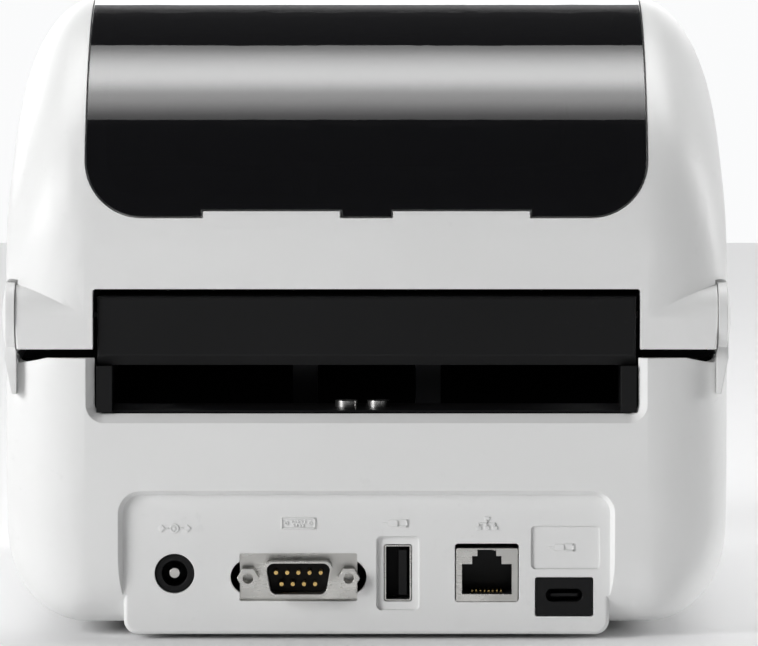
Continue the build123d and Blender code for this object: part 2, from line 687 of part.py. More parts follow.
def socket_openings():
    """Every hole that the socket panel has, as one cutter."""
    y_range = (IO_PANEL_Y - IO_WALL - 1, IO_PANEL_Y + 1)
    holes = rod_y(DC_X, y_range, DC_Z, DC_HOLE_DIAMETER / 2)
    holes += serial_cutout(0, y_range)
    holes += rounded_block(USB_A_CUT, 0.6, (USB_A_X, USB_A_Z), y_range)
    recess_y = (IO_PANEL_Y - USB_A_RECESS_DEPTH, IO_PANEL_Y + 1)
    holes += rounded_block(USB_A_RECESS, 1.2, (USB_A_X, USB_A_Z), recess_y)
    holes += rounded_block(ETHERNET_CUT, 0.8, (ETHERNET_X, ETHERNET_Z), y_range)
    block = (USB_C_BLOCK[0] + 2 * SOCKET_CLEARANCE, USB_C_BLOCK[1] + 2 * SOCKET_CLEARANCE)
    holes += rounded_block(block, USB_C_CORNER + SOCKET_CLEARANCE, (USB_C_X, USB_C_Z), y_range)
    plate_y = (IO_PANEL_Y - PLATE_DEPTH, IO_PANEL_Y + 1)
    holes += rounded_block(PLATE_SIZE, 1.0, (PLATE_X, PLATE_Z), plate_y)
    return holes


def io_block(inset):
    """The socket housing, which stands out where the base curves under."""
    width = IO_BLOCK_WIDTH - 2 * inset
    bottom = IO_BLOCK_BOTTOM_Z + inset
    height = IO_TOP_Z + 2 - bottom
    centre = (0, bottom + height / 2)
    y_range = (REAR_Y - BASE_REAR_RADIUS - 4, IO_PANEL_Y - inset)
    block = rounded_block((width, height), IO_BOTTOM_RADIUS, centre, y_range)
    return fillet(block.faces().sort_by(Axis.Y)[-1].edges(), IO_EDGE_RADIUS)


def lever_cut():
    """Room in the base's side wall for one release lever's pad to swing."""
    pad_front = LATCH_Y - LEVER_PAD[0] / 2
    y_range = (pad_front - LEVER_PAD[1] * 0.55, LATCH_Y + LEVER_PAD[0] / 2 + LEVER_CUT_MARGIN)
    z_range = (LEVER_PAD_TOP_Z - LEVER_PAD[1] - 4.2, SPLIT_Z + 1)
    return box((BODY_WIDTH / 2 - WALL - 6, BODY_WIDTH), y_range, z_range)


def base_housing():
    top = SPLIT_Z - SPLIT_GAP
    outer = banded_body(base_outline, BASE_FLAT_WIDTH, 0, top)
    inner = banded_body(base_outline, BASE_FLAT_WIDTH, WALL, top + WALL)
    io_half = IO_WIDTH / 2 + 1
    inner -= box((-io_half, io_half), (IO_PANEL_Y - IO_WALL, REAR_Y), (0, IO_TOP_Z + 3))
    shell = outer + io_block(0) - inner - io_block(IO_WALL)
    recess_height = IO_TOP_Z + 20
    recess_centre = (0, IO_TOP_Z - recess_height / 2)
    floor_outline = Plane.XZ * RectangleRounded(IO_WIDTH - 2.0, recess_height, IO_TOP_RADIUS - 1.0)
    recess = extrude(floor_outline, amount=-(REAR_Y - IO_PANEL_Y + 1), taper=-IO_WALL_SLOPE)
    shell -= Pos(recess_centre[0], IO_PANEL_Y, recess_centre[1]) * recess
    shell -= socket_openings()
    half = BOTTOM_PLATE[0] / 2 + BOTTOM_GAP
    deep = BOTTOM_PLATE[1] / 2 + BOTTOM_GAP
    shell -= box((-half, half), (-deep, deep), (-1, FLOOR_GAP + WALL + 0.1))
    slot_half = SLOT_WIDTH / 2 + SLOT_FRAME_SIDE + 0.4
    slot_low = SLOT_BOTTOM_Z - 0.3
    opening = RectangleRounded(2 * slot_half, 60, SLOT_RADIUS)
    place = Pos(0, REAR_Y - SLOT_BEVEL, slot_low + 30)
    shell -= place * extrude(Plane.XZ * opening, amount=WALL * 2)
    shell -= place * extrude(Plane.XZ * opening, amount=-SLOT_BEVEL - 0.01, taper=-45)
    mouth = TEAR_BAR_LENGTH / 2 + 3
    shell -= box((-mouth, mouth), (FRONT_Y - 5, FRONT_Y + 2 * WALL), (SPLIT_Z - 5, SPLIT_Z + 5))
    shell -= both_sides(lever_cut())
    shell -= both_sides(knuckle_room())
    return shell + both_sides(ear())


def knuckle_room():
    """The trough that the knuckle's lower edge swings through as the cover opens."""
    sweep = math.hypot(BARREL_RADIUS, KNUCKLE_DROP) + KNUCKLE_SWEEP_GAP
    return domed_plug(BARREL_INNER_X - 0.5, BARREL_OUTER_X + EAR_FACE_GAP, sweep, BARREL_END_RADIUS)


def bottom_cover():
    half, deep = BOTTOM_PLATE[0] / 2, BOTTOM_PLATE[1] / 2
    low = FLOOR_GAP
    plate = box((-half, half), (-deep, deep), (low, low + BOTTOM_THICKNESS))
    for x, y in bottom_screw_places():
        plate -= rod_z(x, y, (low - 1, low + 5), SCREW_RADIUS + 0.2)
        plate -= rod_z(x, y, (low - 1, low + SCREW_HEAD / 2), SCREW_HEAD_RADIUS + 0.3)
    return plate


def bottom_screw_places():
    deep = BOTTOM_PLATE[1] / 2 - 6
    return [(x, y) for x in (-BOTTOM_SCREW_X, BOTTOM_SCREW_X) for y in (-deep, deep)]


def bottom_screws():
    screws = []
    for x, y in bottom_screw_places():
        head = rod_z(x, y, (FLOOR_GAP - 0.6, FLOOR_GAP + SCREW_HEAD / 2), SCREW_HEAD_RADIUS)
        screws.append(head + rod_z(x, y, (FLOOR_GAP, FLOOR_GAP + 4.6), SCREW_RADIUS))
    return Compound(children=screws)


def rubber_feet():
    places = [(side * FOOT_X, y) for side in (-1, 1) for y in FOOT_Y]
    feet = [rod_z(x, y, (0, FLOOR_GAP), FOOT_RADIUS) for x, y in places]
    return Compound(children=[chamfer(foot.edges().group_by(Axis.Z)[0], 0.6) for foot in feet])


def front_bezel():
    """The black lip below the label exit."""
    half = TEAR_BAR_LENGTH / 2 + 2.6
    z_range = (SPLIT_Z - 4.6, SPLIT_Z - SPLIT_GAP)
    lip = box((-half, half), (FRONT_Y + 0.3, FRONT_Y + 9), z_range)
    lip = chamfer(lip.edges().filter_by(Axis.X).group_by(Axis.Z)[-1], 1.2)
    skirt = box((-half, half), (FRONT_Y + 2 * WALL + 0.3, FRONT_Y + 9), (SPLIT_Z - 16, SPLIT_Z - 4.6))
    return lip + skirt


# ------------------------------------------------------- fan-fold slot ----
def slot_frame():
    """Black liner of the fan-fold slot; the cross bar closes it above."""
    half = SLOT_WIDTH / 2
    outer_half = half + SLOT_FRAME_SIDE
    y_range = (REAR_Y - SLOT_FRAME_DEPTH - WALL, HINGE_Y + BAR_FACE)
    behind_wall = (y_range[0], REAR_Y - 2 * WALL - 0.3)
    side = box((half, outer_half), y_range, (SLOT_BOTTOM_Z, SLOT_TOP_Z))
    cheek_y = (y_range[0], HINGE_Y - BAR_FACE - BAR_FRAME_GAP)
    side += box((half, outer_half), cheek_y, (SLOT_TOP_Z, SPLIT_Z - SPLIT_GAP))
    side -= box((half - 1, half + 0.8), (REAR_Y - 9, REAR_Y - 7), (SLOT_BOTTOM_Z - 1, SLOT_TOP_Z + 9))
    lintel = box((-outer_half, outer_half), cheek_y, (SLOT_TOP_Z, SPLIT_Z - SPLIT_GAP))
    sill = box((-outer_half, outer_half), behind_wall, (SLOT_BOTTOM_Z - SLOT_FRAME_PLATE, SLOT_BOTTOM_Z))
    lip = box((-outer_half, outer_half), (behind_wall[0], REAR_Y - 3), (SLOT_BOTTOM_Z, SLOT_BOTTOM_Z + 0.4))
    frame = lintel + sill + lip + both_sides(side)
    for x in SLOT_SCREW_X:
        frame -= rod_z(x, slot_screw_y(), (SLOT_BOTTOM_Z - 5, SLOT_BOTTOM_Z + 1), SCREW_RADIUS)
    return frame


def slot_screw_y():
    return REAR_Y - SLOT_FRAME_DEPTH / 2 - 4


def slot_screws():
    screws = []
    for x in SLOT_SCREW_X:
        y = slot_screw_y()
        shank = rod_z(x, y, (SLOT_BOTTOM_Z - SLOT_FRAME_PLATE, SLOT_BOTTOM_Z + 0.4), SCREW_RADIUS)
        head_z = SLOT_BOTTOM_Z + 0.4
        screws.append(shank + rod_z(x, y, (head_z, head_z + SCREW_HEAD), SCREW_HEAD_RADIUS))
    return Compound(children=screws)


def rear_bar():
    """Black cross-member between the hinge barrels, slanted below its face."""
    half = BARREL_INNER_X - BAR_GAP
    face = HINGE_Y + BAR_FACE
    front = HINGE_Y - BAR_FACE
    top = HINGE_Z + BAR_TOP
    outline = Polygon(
        (front, SLOT_TOP_Z + BAR_FRAME_GAP),
        (face - BAR_SLANT_DEPTH, SLOT_TOP_Z + BAR_FRAME_GAP),
        (face, BAR_SLANT_Z),
        (face, top),
        (front, top),
        align=None,
    )
    bar = extrude(Plane.YZ * outline, amount=half, both=True)
    rear_edges = bar.faces().filter_by(Axis.Y).sort_by(Axis.Y)[-1].edges()
    return fillet(rear_edges, BAR_EDGE_RADIUS)


# ------------------------------------------------------------- chassis ----
def guide_slot_y(side):
    """Middle of the floor slot that one roll guide's stem slides in."""
    offset = PINION_TEETH * RACK_MODULE / 2 + RACK_BODY / 2 + 1.2
    return ROLL_Y - side * offset


def tray_rear_y():
    """Where the chassis stops, clear of the fan-fold slot's frame."""
    return REAR_Y - SLOT_FRAME_DEPTH - WALL - TRAY_GAP


def tray_floor():
    inner = ROLL_RADIUS + ROLL_CLEARANCE
    ring = Circle(inner + TRAY_FLOOR) - Circle(inner)
    far = 3 * ROLL_RADIUS
    front_clip = Pos(-far / 2, (DECK_Z - ROLL_Z) - far / 2) * Rectangle(far, far)
    rear_reach = tray_rear_y() - ROLL_Y
    rear_clip = Pos(rear_reach / 2, (SLOT_BOTTOM_Z - ROLL_Z) - far / 2) * Rectangle(rear_reach, far)
    cradle = Pos(ROLL_Y, ROLL_Z) * (ring & (front_clip + rear_clip))
    drop = ROLL_Z - DECK_Z
    cradle_front = ROLL_Y - math.sqrt((inner + TRAY_FLOOR) ** 2 - drop**2)
    deck_length = cradle_front + 1 - DECK_FRONT_Y
    deck = Pos(DECK_FRONT_Y + deck_length / 2, DECK_Z - TRAY_FLOOR / 2) * Rectangle(deck_length, TRAY_FLOOR)
    half = TRAY_INNER_WIDTH / 2 + 0.01
    return extrude(Plane.YZ * (cradle + deck), amount=half, both=True)


def tray_wall():
    inner_x = TRAY_INNER_WIDTH / 2
    outer_x = inner_x + TRAY_WALL
    wall = box((inner_x, outer_x), (TRAY_FRONT_Y, tray_rear_y()), (TRAY_BOTTOM_Z, TRAY_TOP_Z))
    seat_x = (inner_x - 1, outer_x + 1)
    wall -= rod_x(seat_x, PLATEN_Y, PLATEN_Z, BUSH_RADIUS + RUNNING_FIT)
    mouth_z = (PLATEN_Z, TRAY_TOP_Z + 1)
    wall -= box(seat_x, (PLATEN_Y - BUSH_RADIUS * 0.9, PLATEN_Y + BUSH_RADIUS * 0.9), mouth_z)
    wall -= rod_x(seat_x, LATCH_Y, LATCH_Z, LATCH_SHAFT_RADIUS + RUNNING_FIT)
    return wall


def chassis_tray():
    tray = tray_floor() + both_sides(tray_wall())
    motor_y, motor_z = motor_place()
    wall_x = (TRAY_INNER_WIDTH / 2 - 1, TRAY_INNER_WIDTH / 2 + TRAY_WALL + 1)
    tray -= rod_x(wall_x, motor_y, motor_z, MOTOR_BOSS_RADIUS + 0.3)
    for side in (-1, 1):
        y = guide_slot_y(side)
        half = STEM_THICKNESS / 2 + SIDE_PLAY
        near = GUIDE_INNER_X - 1
        far = GUIDE_INNER_X + GUIDE_THICKNESS + GUIDE_TRAVEL + 1
        slot_x = (near, far) if side > 0 else (-far, -near)
        tray -= box(slot_x, (y - half, y + half), (TRAY_BOTTOM_Z, ROLL_Z - ROLL_RADIUS + 4))
    return tray


def side_deck(side):
    """Lid over the space between the chassis and one side wall."""
    inner = TRAY_INNER_WIDTH / 2 + TRAY_WALL + 0.5
    outer = BODY_WIDTH / 2 - WALL - 0.8
    z_range = (SPLIT_Z - 4.4, SPLIT_Z - 2.6)
    lid = box((inner, outer), (FRONT_Y + BAND_FRONT_DEPTH + 14, REAR_Y - BAND_REAR_DEPTH - 12), z_range)
    reach = LATCH_ARM_TOP_Z - LATCH_Z
    swing = reach * math.sin(math.radians(LEVER_SWING)) + 4
    arm_x = (LATCH_ARM_X - 1.5, LEVER_X + LEVER_THICKNESS + 12)
    lid -= box(arm_x, (LATCH_Y - swing - 5, LATCH_Y + 9), (z_range[0] - 1, z_range[1] + 1))
    gear_room = GEAR_MODULE * PLATEN_TEETH / 2 + 2
    gear_x = (inner - 1, inner + GEAR_START + GEAR_WIDTH + 1)
    lid -= box(gear_x, (PLATEN_Y - gear_room, PLATEN_Y + gear_room), (z_range[0] - 1, z_range[1] + 1))
    return lid if side > 0 else mirror(lid, Plane.YZ)


# ---------------------------------------------------------- roll guides ----
def roll_guide(side):
    inner, outer = GUIDE_INNER_X, GUIDE_INNER_X + GUIDE_THICKNESS
    top_round = GUIDE_HALF_DEPTH
    shaft_z = GUIDE_TOP_Z - top_round
    y_range = (ROLL_Y - GUIDE_HALF_DEPTH, ROLL_Y + GUIDE_HALF_DEPTH)
    blade = box((inner, outer), y_range, (TRAY_BOTTOM_Z, shaft_z))
    blade += rod_x((inner, outer), ROLL_Y, shaft_z, top_round)
    blade &= rod_x((inner, outer), ROLL_Y, ROLL_Z, ROLL_RADIUS + ROLL_CLEARANCE - GUIDE_CLEARANCE)
    blade += rod_x((inner - GUIDE_HUB_LENGTH, inner), ROLL_Y, ROLL_Z, GUIDE_HUB_RADIUS)
    stem_y = guide_slot_y(1)
    half = STEM_THICKNESS / 2
    stem_z = (RACK_Z + RACK_THICKNESS, ROLL_Z - ROLL_RADIUS + 3)
    blade += box((inner, outer), (stem_y - half, stem_y + half), stem_z)
    return blade if side > 0 else Rot(0, 0, 180) * Pos(0, -2 * ROLL_Y, 0) * blade


def rack_bar(side):
    """Toothed bar under the floor, moved by its roll guide."""
    pitch = math.pi * RACK_MODULE
    pitch_y = ROLL_Y - PINION_TEETH * RACK_MODULE / 2
    start = GUIDE_INNER_X + GUIDE_THICKNESS - RACK_LENGTH
    end = GUIDE_INNER_X + GUIDE_THICKNESS
    root_y = pitch_y - 1.2 * RACK_MODULE
    z_range = (RACK_Z, RACK_Z + RACK_THICKNESS)
    bar = box((start, end), (root_y - RACK_BODY, root_y), z_range)
    half = pitch / 4 - BACKLASH / 2
    lean = math.tan(math.radians(20))
    low_half = half + 1.2 * RACK_MODULE * lean
    tip_half = half - 0.9 * RACK_MODULE * lean
    first = math.ceil((start + low_half) / pitch - 0.5)
    last = math.floor((end - low_half) / pitch - 0.5)
    teeth = []
    for index in range(first, last + 1):
        x = (index + 0.5) * pitch
        outline = Polygon(
            (x - low_half, root_y - 0.01),
            (x + low_half, root_y - 0.01),
            (x + tip_half, pitch_y + 0.9 * RACK_MODULE),
            (x - tip_half, pitch_y + 0.9 * RACK_MODULE),
            align=None,
        )
        teeth.append(Pos(0, 0, RACK_Z) * extrude(outline, amount=RACK_THICKNESS))
    bar = bar + teeth
    return bar if side > 0 else Rot(0, 0, 180) * Pos(0, -2 * ROLL_Y, 0) * bar


def gear_sketch(teeth, module):
    """Involute gear outline, one tooth centred on the local X axis."""
    pitch_radius = teeth * module / 2
    base_radius = pitch_radius * math.cos(math.radians(20))
    root = pitch_radius - 1.2 * module
    tip = pitch_radius + 0.9 * module
    involute_at_pitch = math.tan(math.radians(20)) - math.radians(20)
    half_at_pitch = math.pi / (2 * teeth) - BACKLASH / 2 / pitch_radius

    def half_angle(radius):
        pressure = math.acos(min(1.0, base_radius / radius))
        return half_at_pitch + involute_at_pitch - (math.tan(pressure) - pressure)

    radii = [root, max(root, base_radius) + 0.05 * module, pitch_radius, (pitch_radius + tip) / 2, tip]
    points = []
    for index in range(teeth):
        centre = 2 * math.pi * index / teeth
        flank = [(radius, half_angle(radius)) for radius in radii]
        points += [(r * math.cos(centre - a), r * math.sin(centre - a)) for r, a in flank]
        points += [(r * math.cos(centre + a), r * math.sin(centre + a)) for r, a in reversed(flank)]
    return make_face(Polyline(*points, close=True))


def guide_pinion():
    wheel = Rot(0, 0, 90) * gear_sketch(PINION_TEETH, RACK_MODULE) - Circle(PINION_POST_RADIUS + RUNNING_FIT)
    return Pos(0, ROLL_Y, RACK_Z) * extrude(wheel, amount=RACK_THICKNESS)


def pinion_post():
    floor_top = ROLL_Z - ROLL_RADIUS - ROLL_CLEARANCE - TRAY_FLOOR
    post = rod_z(0, ROLL_Y, (FLOOR_GAP + BOTTOM_THICKNESS, floor_top), PINION_POST_RADIUS)
    return post + rod_z(0, ROLL_Y, (FLOOR_GAP + BOTTOM_THICKNESS, RACK_Z - 0.5), PINION_POST_RADIUS + 2)


# ---------------------------------------------------------- print drive ----
def gear_distance(first_teeth, second_teeth):
    return GEAR_MODULE * (first_teeth + second_teeth) / 2


def idler_place():
    reach = gear_distance(PLATEN_TEETH, IDLER_TEETH)
    angle = math.radians(IDLER_DIRECTION)
    return PLATEN_Y + reach * math.cos(angle), PLATEN_Z + reach * math.sin(angle)


def motor_place():
    y, z = idler_place()
    reach = gear_distance(IDLER_TEETH, PINION_DRIVE_TEETH)
    angle = math.radians(MOTOR_DIRECTION)
    return y + reach * math.cos(angle), z + reach * math.sin(angle)


def meshed_turn(turn, teeth, direction, next_teeth):
    """How far the next gear is turned so that its gaps meet these teeth."""
    return direction + 180 + 180 / next_teeth - (turn - direction) * teeth / next_teeth


def gear_x_start():
    return TRAY_INNER_WIDTH / 2 + TRAY_WALL + GEAR_START


def drive_gear(teeth, turn, place, bore):
    sketch = Rot(0, 0, turn) * gear_sketch(teeth, GEAR_MODULE) - Circle(bore)
    wheel = extrude(Plane.YZ * sketch, amount=GEAR_WIDTH)
    return Pos(gear_x_start(), place[0], place[1]) * wheel


def platen_gear():
    place = (PLATEN_Y, PLATEN_Z)
    gear = drive_gear(PLATEN_TEETH, IDLER_DIRECTION, place, PLATEN_SHAFT_RADIUS)
    x = gear_x_start()
    web = rod_x((x - 1, x + 1.5), *place, 8) - rod_x((x - 2, x + 1.5), *place, 5)
    return gear - web


def idler_gear():
    turn = meshed_turn(IDLER_DIRECTION, PLATEN_TEETH, IDLER_DIRECTION, IDLER_TEETH)
    return drive_gear(IDLER_TEETH, turn, idler_place(), IDLER_POST_RADIUS + RUNNING_FIT)


def motor_pinion():
    idler_turn = meshed_turn(IDLER_DIRECTION, PLATEN_TEETH, IDLER_DIRECTION, IDLER_TEETH)
    turn = meshed_turn(idler_turn, IDLER_TEETH, MOTOR_DIRECTION, PINION_DRIVE_TEETH)
    gear = drive_gear(PINION_DRIVE_TEETH, turn, motor_place(), MOTOR_SHAFT_RADIUS)
    return gear


def motor_shaft():
    wall_outer = TRAY_INNER_WIDTH / 2 + TRAY_WALL
    x_range = (wall_outer - 8, gear_x_start() + GEAR_WIDTH + 0.6)
    return rod_x(x_range, *motor_place(), MOTOR_SHAFT_RADIUS)


def idler_post():
    wall_outer = TRAY_INNER_WIDTH / 2 + TRAY_WALL
    post = rod_x((wall_outer, gear_x_start() + GEAR_WIDTH + 0.4), *idler_place(), IDLER_POST_RADIUS)
    cap_x = (gear_x_start() + GEAR_WIDTH + 0.4, gear_x_start() + GEAR_WIDTH + 1.4)
    return post + rod_x(cap_x, *idler_place(), IDLER_POST_RADIUS + 1.2)


def drive_motor():
    """Stepper motor on the inside of the chassis wall."""
    y, z = motor_place()
    face_x = TRAY_INNER_WIDTH / 2
    can = rod_x((face_x - MOTOR_LENGTH, face_x - MOTOR_FLANGE), y, z, MOTOR_RADIUS)
    flange = rod_x((face_x - MOTOR_FLANGE, face_x), y, z, MOTOR_RADIUS - 0.5)
    boss = rod_x((face_x - 1, face_x + TRAY_WALL), y, z, MOTOR_BOSS_RADIUS)
    bore = rod_x((face_x - 6, face_x + TRAY_WALL + 1), y, z, MOTOR_SHAFT_RADIUS + RUNNING_FIT)
    return can + flange + boss - bore


def platen_shaft():
    outer = gear_x_start() + GEAR_WIDTH + 0.8
    inner = TRAY_INNER_WIDTH / 2 + TRAY_WALL + 2
    return rod_x((-inner, outer), PLATEN_Y, PLATEN_Z, PLATEN_SHAFT_RADIUS)


def platen_roller():
    half = PLATEN_LENGTH / 2
    rubber = rod_x((-half, half), PLATEN_Y, PLATEN_Z, PLATEN_RADIUS)
    return rubber - rod_x((-half, half), PLATEN_Y, PLATEN_Z, PLATEN_SHAFT_RADIUS)


def platen_bush(side):
    inner = TRAY_INNER_WIDTH / 2
    outer = inner + TRAY_WALL
    bush = rod_x((inner - BUSH_FLANGE, outer), PLATEN_Y, PLATEN_Z, BUSH_RADIUS)
    bush += rod_x((inner - BUSH_FLANGE, inner), PLATEN_Y, PLATEN_Z, BUSH_FLANGE_RADIUS)
    bush -= rod_x((inner - 5, outer + 5), PLATEN_Y, PLATEN_Z, PLATEN_SHAFT_RADIUS + RUNNING_FIT)
    return bush if side > 0 else mirror(bush, Plane.YZ)


def sensor_rail():
    half = TRAY_INNER_WIDTH / 2 - 0.5
    return box((-half, half), (-70.0, -66.0), (DECK_Z, DECK_Z + 3))


def media_sensor():
    """Carriage that straddles the rail and slides across the label path."""
    body = box((-7, 7), (-74.0, -62.0), (DECK_Z + 0.4, DECK_Z + 6))
    body -= box((-8, 8), (-70.4, -65.6), (DECK_Z, DECK_Z + 3.4))
    return body


# --------------------------------------------------------------- latches ----
def latch_shaft():
    reach = LEVER_X + LEVER_THICKNESS
    shaft = rod_x((-reach, reach), LATCH_Y, LATCH_Z, LATCH_SHAFT_RADIUS)
    arm_x = (LATCH_ARM_X, LATCH_ARM_X + LATCH_ARM_WIDTH)
    arm = box(arm_x, (LATCH_Y - 5, LATCH_Y - LATCH_GAP), (LATCH_Z - 3, LATCH_ARM_TOP_Z + 2))
    hub = rod_x(arm_x, LATCH_Y, LATCH_Z, LATCH_SHAFT_RADIUS + 2.4)
    arm = fillet(arm.edges().filter_by(Axis.X).group_by(Axis.Z)[-1], 1.4)
    return shaft + both_sides(arm + hub)


def release_lever(side):
    inner, outer = LEVER_X, LEVER_X + LEVER_THICKNESS
    pad_outer = BODY_WIDTH / 2 + LEVER_PROUD
    pad_z = (LEVER_PAD_TOP_Z - LEVER_PAD[1], LEVER_PAD_TOP_Z)
    pad_y = (LATCH_Y - LEVER_PAD[0] / 2, LATCH_Y + LEVER_PAD[0] / 2)
    arm = box((inner, outer), (LATCH_Y - 4, LATCH_Y + 4), (LATCH_Z, pad_z[1] - 2))
    hub = rod_x((inner, outer), LATCH_Y, LATCH_Z, LATCH_SHAFT_RADIUS + 3)
    bore = rod_x((inner - 1, outer + 1), LATCH_Y, LATCH_Z, LATCH_SHAFT_RADIUS)
    bridge = box((outer - 0.5, pad_outer - 3), (LATCH_Y - 3, LATCH_Y + 3), (pad_z[0] + 2, pad_z[1] - 2))
    pad = box((pad_outer - 3, pad_outer), pad_y, pad_z)
    pad = fillet(pad.edges().filter_by(Axis.X), 1.8)
    lever = arm + hub - bore + bridge + pad
    return lever if side > 0 else mirror(lever, Plane.YZ)


# --------------------------------------------------------------- sockets ----
def main_board():
    half = IO_BLOCK_WIDTH / 2 - IO_WALL - 0.6
    rear = IO_PANEL_Y - IO_WALL - 0.4
    return box((-half, half), (rear - BOARD_DEPTH, rear), (BOARD_TOP_Z - BOARD_THICKNESS, BOARD_TOP_Z))


def socket_face_y():
    """Front of the sockets, just behind the panel wall."""
    return IO_PANEL_Y - IO_WALL - 0.2


def dc_jack():
    face = socket_face_y()
    low = BOARD_TOP_Z
    body = box((DC_X - 5.2, DC_X + 5.2), (face - DC_BODY_LENGTH, face), (low, DC_Z + 5.4))
    nose = rod_y(DC_X, (face, IO_PANEL_Y - 0.6), DC_Z, DC_HOLE_DIAMETER / 2 - SOCKET_CLEARANCE)
    return body + nose - rod_y(DC_X, (face - 9, IO_PANEL_Y), DC_Z, DC_BORE_DIAMETER / 2)


def dc_jack_pin():
    face = socket_face_y()
    return rod_y(DC_X, (face - 9, IO_PANEL_Y - 1.5), DC_Z, DC_PIN_DIAMETER / 2)


def d_outline(width, height):
    """The D shape, wider at the top, seen from behind the printer."""
    slant = height * math.tan(math.radians(10)) / 2
    corners = (
        (-width / 2 - slant + slant, height / 2),
        (width / 2, height / 2),
        (width / 2 - 2 * slant, -height / 2),
        (-width / 2 + 2 * slant, -height / 2),
    )
    shape = Polygon(*corners, align=None)
    return fillet(shape.vertices(), min(1.8, height / 4))


def d_block(width, height, y_range):
    low, high = y_range
    block = extrude(Plane.XZ * d_outline(width, height), amount=(high - low) / 2, both=True)
    return Pos(SERIAL_X, (low + high) / 2, SERIAL_Z) * block


def serial_shell():
    face = socket_face_y()
    flange_half = SERIAL_SCREW_SPACING / 2 + SERIAL_FLANGE_MARGIN
    z_range = (BOARD_TOP_Z + 0.1, SERIAL_Z + 6.25)
    flange = box((SERIAL_X - flange_half, SERIAL_X + flange_half), (face - 0.8, face), z_range)
    out = IO_PANEL_Y + SERIAL_SHELL_OUT
    shell = flange + d_block(SERIAL_D_WIDTH, SERIAL_D_HEIGHT, (face - 0.8, out))
    flare = Plane.XZ * d_outline(SERIAL_D_WIDTH, SERIAL_D_HEIGHT)
    flare = offset(flare, SERIAL_FLARE)
    shell += Pos(SERIAL_X, face, SERIAL_Z) * extrude(flare, amount=-SERIAL_FLARE, taper=45)
    inner = SERIAL_D_WIDTH - 2 * SERIAL_SHELL_WALL, SERIAL_D_HEIGHT - 2 * SERIAL_SHELL_WALL
    shell -= d_block(*inner, (face - 2, out + 1))
    for side in (-1, 1):
        x = SERIAL_X + side * SERIAL_SCREW_SPACING / 2
        shell -= rod_y(x, (face - 2, face + 1), SERIAL_Z, 1.6)
    return shell


def serial_insulator():
    face = socket_face_y()
    fit = 2 * SERIAL_SHELL_WALL + 0.1
    disc = d_block(SERIAL_D_WIDTH - fit, SERIAL_D_HEIGHT - fit, (face - 1.6, face))
    half = SERIAL_SCREW_SPACING / 2 - 3.5
    body = box(
        (SERIAL_X - half, SERIAL_X + half),
        (face - SERIAL_BODY_DEPTH, face - 1.0),
        (BOARD_TOP_Z, SERIAL_Z + 4.5),
    )
    block = disc + body
    for x, z in serial_pin_places():
        block -= rod_y(x, (face - 3, face + 1), z, SERIAL_PIN_DIAMETER / 2)
    return block


def serial_pin_places():
    """Five contacts above four, at the standard pitch."""
    upper = [(SERIAL_X + (i - 2) * SERIAL_PIN_PITCH, SERIAL_Z + SERIAL_ROW_PITCH / 2) for i in range(5)]
    lower = [(SERIAL_X + (i - 1.5) * SERIAL_PIN_PITCH, SERIAL_Z - SERIAL_ROW_PITCH / 2) for i in range(4)]
    return upper + lower


def serial_pins():
    face = socket_face_y()
    out = IO_PANEL_Y + SERIAL_SHELL_OUT - 1.2
    pins = [rod_y(x, (face - 3, out), z, SERIAL_PIN_DIAMETER / 2) for x, z in serial_pin_places()]
    return Compound(children=pins)


def serial_jackscrews():
    face = socket_face_y()
    screws = []
    for side in (-1, 1):
        x = SERIAL_X + side * SERIAL_SCREW_SPACING / 2
        hexagon = Plane.XZ * RegularPolygon(SERIAL_HEX / 2, 6, major_radius=False)
        head = Pos(x, face, SERIAL_Z) * extrude(hexagon, amount=-SERIAL_HEX_LENGTH)
        shank = rod_y(x, (face - 4, face), SERIAL_Z, 1.5)
        bore = rod_y(x, (face - 1, face + SERIAL_HEX_LENGTH + 1), SERIAL_Z, SERIAL_THREAD_DIAMETER / 2)
        screws.append(head + shank - bore)
    return Compound(children=screws)


def usb_a_shell():
    face = IO_PANEL_Y - USB_A_RECESS_DEPTH - 0.1
    width, height = USB_A_CUT[0] - 0.4, USB_A_CUT[1] - 0.4
    tube = rounded_block((width, height), 0.5, (USB_A_X, USB_A_Z), (face - USB_A_DEPTH, face))
    inner = (width - 2 * USB_A_SHELL_WALL, height - 2 * USB_A_SHELL_WALL)
    return tube - rounded_block(inner, 0.3, (USB_A_X, USB_A_Z), (face - USB_A_DEPTH + 0.5, face + 1))


def usb_a_tongue():
    face = IO_PANEL_Y - USB_A_RECESS_DEPTH - 0.1
    back = face - USB_A_DEPTH + 0.5
    x_low = USB_A_X - USB_A_TONGUE[0] - 0.2
    half = USB_A_TONGUE[1] / 2
    tongue = box((x_low, x_low + USB_A_TONGUE[0]), (back, face - 1), (USB_A_Z - half, USB_A_Z + half))
    shell_gap = 0.4 + 2 * USB_A_SHELL_WALL + 0.1
    block = (USB_A_CUT[0] - shell_gap, USB_A_CUT[1] - shell_gap)
    return tongue + rounded_block(block, 0.25, (USB_A_X, USB_A_Z), (back, face - USB_A_PLUG_DEPTH))


def ethernet_bore(y_range):
    """The plug's opening with the two steps for its latch above it."""
    width, height = ETHERNET_PLUG
    low = ETHERNET_Z + ETHERNET_PLUG_Z - height / 2
    bore = box((ETHERNET_X - width / 2, ETHERNET_X + width / 2), y_range, (low, low + height))
    top = low + height
    for step_width, step_height in ETHERNET_STEPS:
        half = step_width / 2
        bore += box((ETHERNET_X - half, ETHERNET_X + half), y_range, (top - 0.01, top + step_height))
        top += step_height
    return bore


